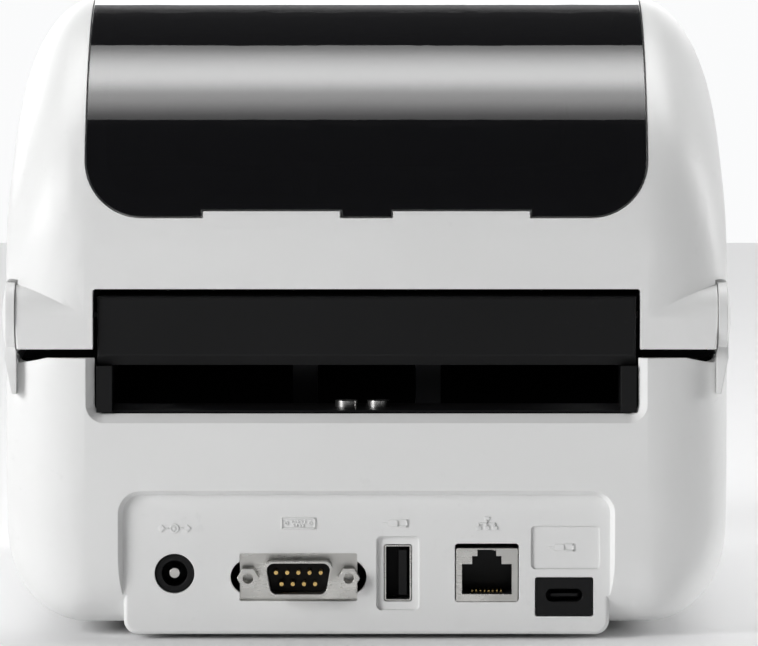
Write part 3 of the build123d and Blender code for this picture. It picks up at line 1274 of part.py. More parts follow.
def ethernet_socket():
    face = IO_PANEL_Y - 0.3
    width, height = ETHERNET_CUT[0] - 0.5, ETHERNET_CUT[1] - ETHERNET_TOP_GAP - 0.2
    centre = (ETHERNET_X, ETHERNET_Z - ETHERNET_TOP_GAP / 2)
    body = rounded_block((width, height), 0.4, centre, (face - ETHERNET_DEPTH, face))
    return body - ethernet_bore((face - ETHERNET_PLUG_DEPTH, face + 1))


def ethernet_contacts():
    face = IO_PANEL_Y - 0.3
    low = ETHERNET_Z + ETHERNET_PLUG_Z - ETHERNET_PLUG[1] / 2
    contacts = []
    for index in range(ETHERNET_CONTACTS):
        x = ETHERNET_X + (index - (ETHERNET_CONTACTS - 1) / 2) * ETHERNET_CONTACT_PITCH
        y_range = (face - ETHERNET_PLUG_DEPTH, face - 4)
        contacts.append(box((x - 0.2, x + 0.2), y_range, (low, low + 0.6)))
    return Compound(children=contacts)


def usb_c_socket():
    face = IO_PANEL_Y - 0.2
    body = rounded_block(USB_C_BLOCK, USB_C_CORNER, (USB_C_X, USB_C_Z), (face - IO_WALL, face))
    rear_block = (USB_C_BLOCK[0] - 3, USB_C_BLOCK[1] - 3)
    z_low = BOARD_TOP_Z
    half = rear_block[0] / 2
    x_range = (USB_C_X - half, USB_C_X + half)
    body += box(x_range, (face - USB_C_DEPTH, face - IO_WALL + 0.1), (z_low, USB_C_Z + 3))
    opening = rounded_block(
        USB_C_OPENING, USB_C_OPENING[1] / 2 - 0.05, (USB_C_X, USB_C_Z + 0.4), (face - USB_C_DEPTH + 1, face + 1)
    )
    return body - opening


def usb_c_tongue():
    face = IO_PANEL_Y - 0.2
    half = USB_C_TONGUE[0] / 2
    thick = USB_C_TONGUE[1] / 2
    middle = USB_C_Z + 0.4
    return box((USB_C_X - half, USB_C_X + half), (face - USB_C_DEPTH + 1, face - 1), (middle - thick, middle + thick))


# ------------------------------------------------------------- all parts ----
def all_parts():
    parts = {
        "base_housing": base_housing(),
        "bottom_cover": bottom_cover(),
        "bottom_screws": bottom_screws(),
        "rubber_feet": rubber_feet(),
        "front_bezel": front_bezel(),
        "chassis_tray": chassis_tray(),
        "side_deck_left": side_deck(-1),
        "side_deck_right": side_deck(1),
        "hinge_pins": hinge_pins(),
        "rear_bar": rear_bar(),
        "slot_frame": slot_frame(),
        "slot_screws": slot_screws(),
        "main_board": main_board(),
        "dc_jack": dc_jack(),
        "dc_jack_pin": dc_jack_pin(),
        "serial_shell": serial_shell(),
        "serial_insulator": serial_insulator(),
        "serial_pins": serial_pins(),
        "serial_jackscrews": serial_jackscrews(),
        "usb_a_shell": usb_a_shell(),
        "usb_a_tongue": usb_a_tongue(),
        "ethernet_socket": ethernet_socket(),
        "ethernet_contacts": ethernet_contacts(),
        "usb_c_socket": usb_c_socket(),
        "usb_c_tongue": usb_c_tongue(),
        "roll_guide_left": roll_guide(-1),
        "roll_guide_right": roll_guide(1),
        "guide_rack_left": rack_bar(-1),
        "guide_rack_right": rack_bar(1),
        "guide_pinion": guide_pinion(),
        "pinion_post": pinion_post(),
        "platen_shaft": platen_shaft(),
        "platen_roller": platen_roller(),
        "platen_bush_left": platen_bush(-1),
        "platen_bush_right": platen_bush(1),
        "platen_gear": platen_gear(),
        "idler_gear": idler_gear(),
        "idler_post": idler_post(),
        "motor_pinion": motor_pinion(),
        "motor_shaft": motor_shaft(),
        "drive_motor": drive_motor(),
        "sensor_rail": sensor_rail(),
        "media_sensor": media_sensor(),
        "latch_shaft": latch_shaft(),
        "release_lever_left": release_lever(-1),
        "release_lever_right": release_lever(1),
        "cover_shell": cover_shell(),
        "cover_window": cover_window(),
        "cover_liner": cover_liner(),
        "print_head": print_head(),
        "head_heatsink": head_heatsink(),
        "head_bracket": head_bracket(),
        "head_springs": Compound(children=[head_spring(-SPRING_X), head_spring(SPRING_X)]),
        "tear_bar": tear_bar(),
        "control_bezel": control_bezel(),
        "control_board": control_board(),
        "display_screen": display_screen(),
    }
    for index, name in enumerate(BUTTON_NAMES):
        parts[name] = control_button(index)
    return parts


os.makedirs("parts", exist_ok=True)
for node, shape in all_parts().items():
    export_step(shape, f"parts/{node}.step")
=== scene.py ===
import json
import math

import bmesh
import bpy
from mathutils import Matrix, Vector


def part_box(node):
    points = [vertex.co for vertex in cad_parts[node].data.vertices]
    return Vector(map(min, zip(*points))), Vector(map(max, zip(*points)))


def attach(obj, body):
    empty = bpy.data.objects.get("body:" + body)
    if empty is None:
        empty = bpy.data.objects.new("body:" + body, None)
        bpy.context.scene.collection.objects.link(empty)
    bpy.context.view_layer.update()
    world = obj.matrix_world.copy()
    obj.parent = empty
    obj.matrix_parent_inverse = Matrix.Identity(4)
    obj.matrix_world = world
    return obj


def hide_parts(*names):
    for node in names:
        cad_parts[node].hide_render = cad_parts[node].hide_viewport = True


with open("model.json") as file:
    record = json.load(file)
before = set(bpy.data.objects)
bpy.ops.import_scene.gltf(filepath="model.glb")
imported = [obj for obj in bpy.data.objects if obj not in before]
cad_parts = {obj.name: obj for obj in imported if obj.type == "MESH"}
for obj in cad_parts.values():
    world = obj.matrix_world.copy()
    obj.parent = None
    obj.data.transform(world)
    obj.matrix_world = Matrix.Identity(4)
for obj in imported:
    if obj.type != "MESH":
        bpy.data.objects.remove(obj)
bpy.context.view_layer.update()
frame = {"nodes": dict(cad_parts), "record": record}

mm = 0.001

# ------------------------------------------------------------ base housing ----
# The lower casing: one white ABS moulding with a fine spark-eroded texture. It
# carries the two hinge ears and the socket panel, and everything else is
# screwed or clipped into it.

FINISH_SLOT = {part["node"]: part["material_slot"] for part in frame["record"]["subparts"]}
BODY_OF = {
    node: body
    for body, nodes in frame["record"]["behaviour"]["bodies"].items()
    for node in nodes
}


class Link:
    """One socket of a finish. Arithmetic on it adds Math nodes."""

    def __init__(self, finish, socket):
        self.finish, self.socket = finish, socket

    def maths(self, operation, first, second):
        return self.finish.node("ShaderNodeMath", {"operation": operation}, [first, second])

    def __add__(self, other):
        return self.maths("ADD", self, other)

    def __sub__(self, other):
        return self.maths("SUBTRACT", self, other)

    def __rsub__(self, other):
        return self.maths("SUBTRACT", other, self)

    def __mul__(self, other):
        return self.maths("MULTIPLY", self, other)

    __radd__ = __add__
    __rmul__ = __mul__


class Finish:
    """A procedural finish on one Principled shader."""

    def __init__(self, name, **constants):
        self.material = bpy.data.materials.new(name)
        self.material.use_nodes = True
        self.tree = self.material.node_tree
        self.tree.nodes.clear()
        self.shader = self.tree.nodes.new("ShaderNodeBsdfPrincipled")
        output = self.tree.nodes.new("ShaderNodeOutputMaterial")
        self.tree.links.new(self.shader.outputs[0], output.inputs[0])
        self.where = self.node("ShaderNodeTexCoord", {}, {}, "Object")
        for name, value in constants.items():
            self.shader.inputs[name.replace("_", " ")].default_value = value

    def node(self, kind, settings, inputs, output=0):
        """One node: its settings, then its inputs, by place or by name."""
        made = self.tree.nodes.new(kind)
        for name, value in settings.items():
            if name == "stops":
                ramp = made.color_ramp
                while len(ramp.elements) < len(value):
                    ramp.elements.new(0.5)
                for element, (place, level) in zip(ramp.elements, value):
                    element.position = place
                    element.color = (level, level, level, 1)
            else:
                setattr(made, name, value)
        pairs = enumerate(inputs) if isinstance(inputs, (list, tuple)) else inputs.items()
        for place, value in pairs:
            socket = made.inputs[place]
            if isinstance(value, Link):
                self.tree.links.new(value.socket, socket)
            else:
                socket.default_value = value
        return Link(self, made.outputs[output])

    def noise(self, scale, detail=2.0, stretch=(1, 1, 1)):
        """Smooth noise of so many features in a metre, drawn out along an axis by stretch."""
        place = self.node("ShaderNodeMapping", {}, {"Vector": self.where, "Scale": stretch})
        settings = {"noise_dimensions": "3D"}
        inputs = {"Vector": place, "Scale": scale, "Detail": detail}
        return self.node("ShaderNodeTexNoise", settings, inputs)

    def ramp(self, link, stops):
        return self.node("ShaderNodeValToRGB", {"stops": stops}, [link])

    def tint(self, share, plain, other):
        settings = {"data_type": "RGBA"}
        inputs = {0: share, 6: (*plain, 1) if isinstance(plain, tuple) else plain, 7: (*other, 1)}
        return self.node("ShaderNodeMix", settings, inputs, 2)

    def bump(self, height, depth, edge=0.0):
        """Relief of a depth in metres, over edges eased by the given radius."""
        inputs = {"Height": height, "Distance": depth, "Strength": 1.0}
        if edge:
            inputs["Normal"] = self.node("ShaderNodeBevel", {"samples": 4}, {"Radius": edge})
        return self.node("ShaderNodeBump", {}, inputs)

    def drive(self, **links):
        for name, link in links.items():
            self.tree.links.new(link.socket, self.shader.inputs[name.replace("_", " ")])
        return self


def moulded_finish(name, pale, dark, gloss, grain, relief, edge, **constants):
    """A textured plastic: drifting colour, dulled patches, handling scuffs and an etched grain."""
    made = Finish(name, **constants)
    drift = made.ramp(made.noise(14, 3), [(0.3, 0), (0.7, 1)])
    scuff = made.ramp(made.noise(420, 4, (1, 0.25, 1)), [(0.62, 0), (0.74, 1)])
    worn = scuff * made.ramp(made.noise(35, 2), [(0.52, 0), (0.66, 1)])
    colour = made.tint(drift, pale, dark)
    shade = tuple(0.93 * level + 0.012 for level in dark)
    made.drive(
        Base_Color=made.tint(worn * 0.6, colour, shade),
        Roughness=made.noise(60, 3) * 0.12 + worn * 0.08 + (gloss - 0.06),
        Normal=made.bump(made.noise(grain, 2) + made.noise(grain / 9, 2) * 0.8, relief, edge),
    )
    return made


def moulded(node, finish, corner=30.0):
    """A seamless copy of a frame piece: smooth over its curves, crisp at its edges."""
    source = frame["nodes"][node]
    shape = bmesh.new()
    shape.from_mesh(source.data)
    bmesh.ops.remove_doubles(shape, verts=shape.verts, dist=0.002 * mm)
    crisp = math.radians(corner)
    for face in shape.faces:
        face.smooth = True
    for edge in shape.edges:
        edge.smooth = len(edge.link_faces) == 2 and edge.calc_face_angle() < crisp
    mesh = bpy.data.meshes.new(node + "_skin")
    shape.to_mesh(mesh)
    shape.free()
    for name in ("custom_normal", "sharp_face"):
        if name in mesh.attributes:
            mesh.attributes.remove(mesh.attributes[name])
    return fitted(node + "_skin", mesh, finish, BODY_OF[node], FINISH_SLOT[node], node)


def fitted(name, mesh, finish, body, slot, *nodes):
    """Puts a finished mesh into the scene on its body."""
    mesh.materials.clear()
    mesh.materials.append(finish.material)
    piece = bpy.data.objects.new(name, mesh)
    bpy.context.scene.collection.objects.link(piece)
    even = piece.modifiers.new("even_shading", "WEIGHTED_NORMAL")
    even.keep_sharp = True
    even.weight = 80
    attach(piece, body)
    if nodes:
        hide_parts(*nodes)
    return piece


WHITE_PALE = (0.86, 0.862, 0.858)
WHITE_DARK = (0.83, 0.832, 0.826)
white_casing = moulded_finish(
    "white_casing", WHITE_PALE, WHITE_DARK, 0.42, 5200, 0.012 * mm, 0.35 * mm
)
moulded("base_housing", white_casing, 24)

# ------------------------------------------------------------- panel marks ----
# Small pictograms moulded proud of the socket panel, one above each socket, so
# that a lead can be matched to its socket. They are part of the white moulding.

MARK_PROUD = 0.25 * mm
MARK_LINE = 0.42 * mm
MARK_HEIGHT = 29.0 * mm
panel_face = 108.0 * mm
DEVICE_MARK_HEIGHT = 22.9 * mm
PLATE_RECESS = 0.5 * mm


def stroke(shape, centre, size, turn=0.0, corner=0.12 * mm):
    """A flat bar with softened corners, raised from the panel."""
    grid = bmesh.ops.create_grid(shape, x_segments=1, y_segments=1, size=0.5)
    verts = grid["verts"]
    bmesh.ops.scale(shape, verts=verts, vec=(size[0], size[1], 1))
    made = bmesh.ops.bevel(
        shape, geom=verts, offset=min(corner, min(size) * 0.3), affect="VERTICES",
        segments=2, profile=0.5, material=-1,
    )
    raise_outline(shape, made["verts"], centre, turn)


def ring(shape, centre, radius, line=MARK_LINE):
    """A flat ring raised from the panel; a line as wide as the radius leaves a dot."""
    outer = bmesh.ops.create_circle(shape, segments=32, radius=radius)["verts"]
    if line >= radius:
        bmesh.ops.contextual_create(shape, geom=outer)
        raise_outline(shape, outer, centre, 0)
        return
    inner = bmesh.ops.create_circle(shape, segments=32, radius=radius - line)["verts"]
    edges = [e for e in shape.edges if e.verts[0] in outer or e.verts[0] in inner]
    bmesh.ops.bridge_loops(shape, edges=edges)
    raise_outline(shape, outer + inner, centre, 0)


def raise_outline(shape, verts, centre, turn):
    """Turns a flat outline upright against the panel and gives it its height."""
    faces = list({face for vert in verts for face in vert.link_faces})
    grown = bmesh.ops.extrude_face_region(shape, geom=faces)["geom"]
    top = [item for item in grown if isinstance(item, bmesh.types.BMVert)]
    bmesh.ops.translate(shape, verts=top, vec=(0, 0, MARK_PROUD))
    whole = list({vert for face in faces for vert in face.verts} | set(top))
    upright = Matrix.Rotation(math.pi, 4, "Z") @ Matrix.Rotation(math.pi / 2, 4, "X")
    stand = Matrix.Translation(centre) @ upright @ Matrix.Rotation(turn, 4, "Z")
    bmesh.ops.transform(shape, matrix=stand, verts=whole)


def mark(name, draw, x, height=MARK_HEIGHT, face=panel_face):
    """One pictogram above the socket at x, from strokes and rings placed around its middle."""
    shape = bmesh.new()

    def at(across, up):
        return Vector((x - across * mm, face - 0.02 * mm, height + up * mm))

    draw(shape, at)
    bmesh.ops.recalc_face_normals(shape, faces=shape.faces)
    mesh = bpy.data.meshes.new(name)
    shape.to_mesh(mesh)
    shape.free()
    return fitted(name, mesh, white_casing, "base", "white_casing")


def middle(node):
    low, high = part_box(node)
    return (low + high) / 2


def power_mark(shape, at):
    ring(shape, at(0, -1.3), 1.15 * mm)
    ring(shape, at(0, -1.3), 0.42 * mm, 1 * mm)
    for side in (-1, 1):
        stroke(shape, at(side * 1.9, -1.3), (1.0 * mm, MARK_LINE))
        stroke(shape, at(side * 3.2, -1.3), (1.35 * mm, 1.35 * mm), math.pi / 4)


def serial_mark(shape, at):
    for up in (-1.25, 1.25):
        stroke(shape, at(0, up), (8.2 * mm, MARK_LINE))
    for side in (-1, 1):
        stroke(shape, at(side * 4.1, 0), (MARK_LINE, 2.6 * mm))
        ring(shape, at(side * 3.0, 0), 0.5 * mm, 0.3 * mm)
    for place in range(5):
        stroke(shape, at((place - 2) * 0.8, 0.4), (0.35 * mm, 0.6 * mm))
    for place in range(4):
        stroke(shape, at((place - 1.5) * 0.8, -0.5), (0.35 * mm, 0.6 * mm))


def plug_mark(shape, at):
    stroke(shape, at(-1.3, 0), (2.6 * mm, 1.7 * mm), 0, 0.3 * mm)
    for up in (-0.75, 0.75):
        stroke(shape, at(1.2, up), (2.2 * mm, MARK_LINE))
    stroke(shape, at(2.3, 0), (MARK_LINE, 1.9 * mm))
    stroke(shape, at(-3.2, 0), (1.4 * mm, MARK_LINE))


def network_mark(shape, at):
    stroke(shape, at(0, 1.15), (1.3 * mm, 1.0 * mm))
    stroke(shape, at(0, 0.35), (MARK_LINE, 0.8 * mm))
    stroke(shape, at(0, -0.05), (4.4 * mm, MARK_LINE))
    for side in (-1, 0, 1):
        stroke(shape, at(side * 2.0, -0.45), (MARK_LINE, 0.7 * mm))
        stroke(shape, at(side * 2.0, -1.15), (1.3 * mm, 1.0 * mm))


mark("power_mark", power_mark, middle("dc_jack_pin").x)
mark("serial_mark", serial_mark, middle("serial_shell").x)
mark("host_mark", plug_mark, middle("usb_a_shell").x)
mark("network_mark", network_mark, middle("ethernet_socket").x)
mark("device_mark", plug_mark, middle("usb_c_socket").x, DEVICE_MARK_HEIGHT, panel_face - PLATE_RECESS)

# ----------------------------------------------------- bottom cover and feet ----
# A flat plate closes the casing underneath. Four steel screws hold it, and four
# round rubber feet are pressed into it.

black_frame = moulded_finish(
    "black_frame", (0.0085, 0.0086, 0.009), (0.0065, 0.0066, 0.007), 0.5, 4200, 0.010 * mm, 0.3 * mm,
    Specular_IOR_Level=0.20,
)
foot_rubber = moulded_finish(
    "foot_rubber", (0.03, 0.03, 0.031), (0.022, 0.022, 0.023), 0.82, 1800, 0.05 * mm, 0.3 * mm
)


def metal_finish(name, colour, gloss, stretch, relief, edge=0.15 * mm):
    """A bright metal with rolling or turning lines, dulled in patches."""
    made = Finish(name, Metallic=1.0)
    lines = made.noise(1400, 3, stretch)
    dull = made.ramp(made.noise(90, 3), [(0.35, 0), (0.75, 1)])
    darker = tuple(0.82 * level for level in colour)
    made.drive(
        Base_Color=made.tint(dull * 0.7, colour, darker),
        Roughness=lines * 0.14 + dull * 0.10 + (gloss - 0.08),
        Normal=made.bump(lines, relief, edge),
    )
    return made


steel = metal_finish("steel", (0.70, 0.69, 0.68), 0.26, (1, 1, 0.12), 0.006 * mm)
moulded("bottom_cover", black_frame)
moulded("bottom_screws", steel)
moulded("rubber_feet", foot_rubber)

# --------------------------------------------------- chassis tray and decks ----
# A black tray holds the label roll and ties the casing together. Two black
# decks cover the wells beside it, and a black bezel frames the label exit.

moulded("chassis_tray", black_frame)
moulded("side_deck_left", black_frame)
moulded("side_deck_right", black_frame)
gloss_black = moulded_finish(
    "gloss_black", (0.010, 0.010, 0.011), (0.008, 0.008, 0.009), 0.12, 900, 0.002 * mm, 0.25 * mm, Coat_Weight=0.3
)
moulded("front_bezel", black_frame)

# ---------------------------------------------- slot frame, bar and hinge pins ----
# Behind the roll a black frame lines the slot for fan-fold labels; two small
# screws hold it. The bar above it is part of the hinge line, between the two
# barrels, and steel pins carry the cover in the ears.

moulded("slot_frame", black_frame)
moulded("slot_screws", steel)
moulded("rear_bar", black_frame)
moulded("hinge_pins", steel)

# ------------------------------------------------------ circuit board, sockets ----
# The main board lies on the bottom cover with its sockets at the panel. Shells
# are folded tin-plated steel, bodies are black or grey glass-filled plastic and
# contacts are gold plated.

board = Finish("board", Roughness=0.35)
tracks = board.ramp(board.noise(260, 1, (1, 0.15, 1)), [(0.47, 0), (0.5, 1)])
cross_tracks = board.ramp(board.noise(240, 1, (0.15, 1, 1)), [(0.49, 0), (0.52, 1)])
board.drive(
    Base_Color=board.tint(tracks * 0.5 + cross_tracks * 0.4, (0.008, 0.07, 0.028), (0.02, 0.14, 0.05)),
    Roughness=board.noise(120) * 0.1 + 0.3,
    Normal=board.bump(tracks + cross_tracks, 0.02 * mm),
)
nickel = metal_finish("nickel", (0.74, 0.73, 0.70), 0.26, (0.1, 1, 1), 0.004 * mm)
gold = metal_finish("gold", (0.83, 0.58, 0.22), 0.22, (1, 1, 0.2), 0.003 * mm, 0.05 * mm)
grey_plastic = moulded_finish(
    "grey_plastic", (0.10, 0.10, 0.105), (0.085, 0.085, 0.09), 0.45, 3000, 0.01 * mm, 0.15 * mm
)
METAL = {"steel": steel, "nickel": nickel, "gold": gold}
PLASTIC = {
    "white_casing": white_casing,
    "black_frame": black_frame,
    "gloss_black": gloss_black,
    "grey_plastic": grey_plastic,
    "board": board,
}
for node in (
    "main_board", "dc_jack", "dc_jack_pin", "serial_shell", "serial_insulator", "serial_pins",
    "serial_jackscrews", "usb_a_shell", "usb_a_tongue", "ethernet_socket", "ethernet_contacts",
    "usb_c_socket", "usb_c_tongue",
):
    moulded(node, {**METAL, **PLASTIC}[FINISH_SLOT[node]])


def lined(piece, node, lining, margin, depth):
    """Gives a socket's inside its black plastic: every face in from the mouth and the sides."""
    low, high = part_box(node)
    piece.data.materials.append(lining.material)
    for face in piece.data.polygons:
        spot = face.center
        inside = low.x + margin < spot.x < high.x - margin and low.z + margin < spot.z < high.z - margin
        if inside and spot.y < high.y - depth:
            face.material_index = 1


socket_black = moulded_finish(
    "socket_black", (0.006, 0.006, 0.006), (0.005, 0.005, 0.005), 0.55, 3000, 0.01 * mm, 0.1 * mm
)
lined(bpy.data.objects["ethernet_socket_skin"], "ethernet_socket", socket_black, 0.9 * mm, 0.3 * mm)
lined(bpy.data.objects["usb_a_shell_skin"], "usb_a_shell", socket_black, 0.6 * mm, 6 * mm)

# ----------------------------------------------------- roll guides and racks ----
# Two guides centre the label roll. A rack under each meshes with one pinion, so
# that they always slide the same way apart; the wheel is acetal on a steel post.

gear_plastic = moulded_finish(
    "gear_plastic", (0.72, 0.70, 0.64), (0.66, 0.64, 0.58), 0.38, 1500, 0.006 * mm, 0.15 * mm, Subsurface_Weight=0.05
)
PLASTIC["gear_plastic"] = gear_plastic
for node in (
    "roll_guide_left", "roll_guide_right", "guide_rack_left", "guide_rack_right",
    "guide_pinion", "pinion_post",
):
    moulded(node, {**METAL, **PLASTIC}[FINISH_SLOT[node]])

# -------------------------------------------------------- platen and its drive ----
# The platen is ground silicone rubber on a steel shaft in two plastic bushes.
# A stepping motor drives it through an idler wheel.

platen_rubber = moulded_finish(
    "platen_rubber", (0.05, 0.05, 0.052), (0.04, 0.04, 0.042), 0.7, 2600, 0.02 * mm, 0.2 * mm
)
aluminium = metal_finish("aluminium", (0.78, 0.79, 0.80), 0.38, (0.05, 1, 1), 0.01 * mm)
PLASTIC["platen_rubber"] = platen_rubber
METAL["aluminium"] = aluminium
for node in (
    "platen_shaft", "platen_roller", "platen_bush_left", "platen_bush_right", "platen_gear",
    "idler_gear", "idler_post", "motor_pinion", "motor_shaft", "drive_motor",
):
    moulded(node, {**METAL, **PLASTIC}[FINISH_SLOT[node]])

# ----------------------------------------------------------- label gap sensor ----
# A small black head reads the gaps between labels. It slides by hand along a
# steel rail across the tray.

for node in ("sensor_rail", "media_sensor"):
    moulded(node, {**METAL, **PLASTIC}[FINISH_SLOT[node]])

# -------------------------------------------------------------- cover latches ----
# Grey levers on one steel shaft hold the cover shut. They are pressed at the
# sides and a spring brings them back.

lever_grey = moulded_finish(
    "lever_grey", (0.20, 0.205, 0.21), (0.175, 0.18, 0.185), 0.45, 3600, 0.012 * mm, 0.3 * mm
)
PLASTIC["lever_grey"] = lever_grey
for node in ("latch_shaft", "release_lever_left", "release_lever_right"):
    moulded(node, {**METAL, **PLASTIC}[FINISH_SLOT[node]])

# ------------------------------------------------------------ cover and window ----
# The lift-up cover is the same white moulding as the base. A smoked acrylic
# sheet, heat-formed to the crown, is let into it, and a black liner stiffens it
# from inside.

moulded("cover_shell", white_casing, 24)
moulded("cover_liner", black_frame)

smoked_window = Finish(
    "smoked_window", Roughness=0.03, IOR=1.49, Alpha=0.86, Specular_IOR_Level=0.5
)
haze = smoked_window.ramp(smoked_window.noise(26, 4), [(0.45, 0), (0.8, 1)])
dust = smoked_window.ramp(smoked_window.noise(2600, 1), [(0.74, 0), (0.80, 1)])
smoked_window.drive(
    Base_Color=smoked_window.tint(dust * 0.25, (0.006, 0.006, 0.007), (0.12, 0.12, 0.12)),
    Roughness=haze * 0.02 + dust * 0.10 + 0.02,
    Alpha=dust * 0.03 + haze * 0.02 + 0.86,
    Normal=smoked_window.bump(smoked_window.noise(9, 1), 0.02 * mm, 0.25 * mm),
)


def ruled(piece, centre_y, centre_z, reach=3.0 * mm):
    """Gives a sheet bent one way only the exact shading of its side curve."""
    mesh = piece.data
    centre = Vector((0, centre_y, centre_z))

    def outward(point):
        arm = point - centre
        arm.x = 0
        return arm.normalized()

    crown = [
        face for face in mesh.polygons
        if abs(face.normal.x) < 0.05 and face.normal.dot(outward(face.center)) > 0.6
    ]
    on_curve = {index for face in crown for index in face.vertices}
    spots = [mesh.vertices[index].co for index in on_curve]
    curve = sorted({(math.atan2(p.z - centre_z, p.y - centre_y), p.y, p.z) for p in spots})
    normals = [None] * len(mesh.loops)
    for face in mesh.polygons:
        for loop in face.loop_indices:
            normals[loop] = face.normal.copy()
    facing = {}
    for index in on_curve:
        here = mesh.vertices[index].co
        near = [(y, z) for _, y, z in curve if math.hypot(y - here.y, z - here.z) < reach]
        ahead, behind = Vector((0, *near[0])), Vector((0, *near[-1]))
        along = ahead - behind
        turned = Vector((0, along.z, -along.y)) if along.length > 0 else outward(here)
        if turned.dot(outward(here)) < 0:
            turned.negate()
        facing[index] = turned.normalized()
    for face in crown:
        for loop in face.loop_indices:
            normals[loop] = facing[mesh.loops[loop].vertex_index]
    mesh.normals_split_custom_set(normals)
    piece.modifiers.clear()


window = moulded("cover_window", smoked_window)
crown_low, crown_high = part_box("cover_window")
ruled(window, (crown_low.y + crown_high.y) / 2 + 8 * mm, crown_low.z - 20 * mm)

# ----------------------------------------------------------------- print head ----
# The thermal head is a glazed ceramic strip on an aluminium sink. It hangs from
# the cover on a steel bracket, pressed down by two coil springs, above the
# toothed bar that labels are torn against.

head_ceramic = Finish("head_ceramic", Coat_Weight=0.4)
glaze = head_ceramic.ramp(head_ceramic.noise(900, 2, (1, 0.05, 1)), [(0.45, 0), (0.6, 1)])
head_ceramic.drive(
    Base_Color=head_ceramic.tint(glaze, (0.62, 0.60, 0.54), (0.50, 0.47, 0.40)),
    Roughness=head_ceramic.noise(200) * 0.1 + 0.15,
    Normal=head_ceramic.bump(glaze, 0.004 * mm, 0.1 * mm),
)
PLASTIC["head_ceramic"] = head_ceramic
for node in ("print_head", "head_heatsink", "head_bracket", "head_springs", "tear_bar"):
    moulded(node, {**METAL, **PLASTIC}[FINISH_SLOT[node]])

# -------------------------------------------------------------- control panel ----
# A black bezel on the sloping face carries the display and three keys. Each key
# carries a printed mark: power, pause and feed.

PLASTIC["smoked_window"] = smoked_window
for node in (
    "control_bezel", "control_board", "display_screen", "power_button", "pause_button",
    "feed_button",
):
    moulded(node, {**METAL, **PLASTIC}[FINISH_SLOT[node]])

KEY_MARK_PROUD = 0.12 * mm
print_white = moulded_finish(
    "print_white", (0.80, 0.80, 0.79), (0.74, 0.74, 0.73), 0.5, 2600, 0.003 * mm, 0.05 * mm
)
SLOPE_RISE, SLOPE_RUN = 25, 36
SLOPE = math.atan2(SLOPE_RISE, SLOPE_RUN)
RING_RADIUS, RING_LINE, RING_GAP = 1.7 * mm, 0.4 * mm, 0.7


def on_panel(name, draw, node, finish, body, slot, proud=KEY_MARK_PROUD):
    """A flat print or lens laid on the sloping face over a frame piece."""
    low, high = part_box(node)
    across = Vector((1, 0, 0))
    upward = Vector((0, math.cos(SLOPE), math.sin(SLOPE)))
    outward = Vector((0, -math.sin(SLOPE), math.cos(SLOPE)))
    corners = [vert.co.dot(outward) for vert in frame["nodes"][node].data.vertices]
    centre = (low + high) / 2
    centre += outward * (max(corners) - centre.dot(outward) - 0.02 * mm)
    shape = bmesh.new()
    draw(shape)
    faces = list(shape.faces)
    grown = bmesh.ops.extrude_face_region(shape, geom=faces)["geom"]
    top = [item for item in grown if isinstance(item, bmesh.types.BMVert)]
    bmesh.ops.translate(shape, verts=top, vec=(0, 0, proud))
    bmesh.ops.recalc_face_normals(shape, faces=shape.faces)
    turn = Matrix((across, upward, outward)).transposed().to_4x4()
    bmesh.ops.transform(shape, matrix=Matrix.Translation(centre) @ turn, verts=shape.verts)
    mesh = bpy.data.meshes.new(name)
    shape.to_mesh(mesh)
    shape.free()
    return fitted(name, mesh, finish, body, slot)


def flat_bar(shape, place, size):
    verts = bmesh.ops.create_grid(shape, x_segments=1, y_segments=1, size=0.5)["verts"]
    bmesh.ops.scale(shape, verts=verts, vec=(size[0], size[1], 1))
    bmesh.ops.translate(shape, verts=verts, vec=(*place, 0))


def power_print(shape):
    """A broken ring with a bar in its gap."""
    start = [
        shape.verts.new((math.sin(RING_GAP) * reach, math.cos(RING_GAP) * reach, 0))
        for reach in (RING_RADIUS - RING_LINE, RING_RADIUS)
    ]
    edge = shape.edges.new(start)
    bmesh.ops.spin(
        shape, geom=[edge, *start], cent=(0, 0, 0), axis=(0, 0, -1), dvec=(0, 0, 0), steps=24,
        angle=2 * math.pi - 2 * RING_GAP, use_merge=False,
    )
    flat_bar(shape, (0, 1.2 * mm), (RING_LINE, 1.5 * mm))


def pause_print(shape):
    for side in (-1, 1):
        flat_bar(shape, (side * 0.65 * mm, 0), (0.55 * mm, 2.4 * mm))


def feed_print(shape):
    flat_bar(shape, (0, -1.35 * mm), (2.6 * mm, 0.4 * mm))
    arrow = bmesh.ops.create_circle(shape, segments=3, radius=1.5 * mm)["verts"]
    bmesh.ops.contextual_create(shape, geom=arrow)
    bmesh.ops.translate(shape, verts=arrow, vec=(0, 0.1 * mm, 0))


on_panel("power_print", power_print, "power_button", print_white, "power_key", "white_casing")
on_panel("pause_print", pause_print, "pause_button", print_white, "pause_key", "white_casing")
on_panel("feed_print", feed_print, "feed_button", print_white, "feed_key", "white_casing")

# ------------------------------------------------------------- floor and light ----
# A plain pale floor with a pale room behind it. A wide softbox hangs overhead,
# two stand out to the sides and one in front.

shape = bmesh.new()
bmesh.ops.create_grid(shape, x_segments=24, y_segments=24, size=1.0)
bmesh.ops.scale(shape, verts=shape.verts, vec=(5.0, 3.2, 1))
bmesh.ops.translate(shape, verts=shape.verts, vec=(0, 1.85, -0.05 * mm))
floor_mesh = bpy.data.meshes.new("floor")
shape.to_mesh(floor_mesh)
shape.free()
floor_finish = Finish("floor_paper", Roughness=0.7)
floor_finish.drive(
    Base_Color=floor_finish.tint(floor_finish.noise(3, 2), (0.94, 0.94, 0.945), (0.92, 0.92, 0.925)),
    Normal=floor_finish.bump(floor_finish.noise(900, 2), 0.01 * mm),
)
floor_mesh.materials.append(floor_finish.material)
floor = bpy.data.objects.new("floor", floor_mesh)
bpy.context.scene.collection.objects.link(floor)

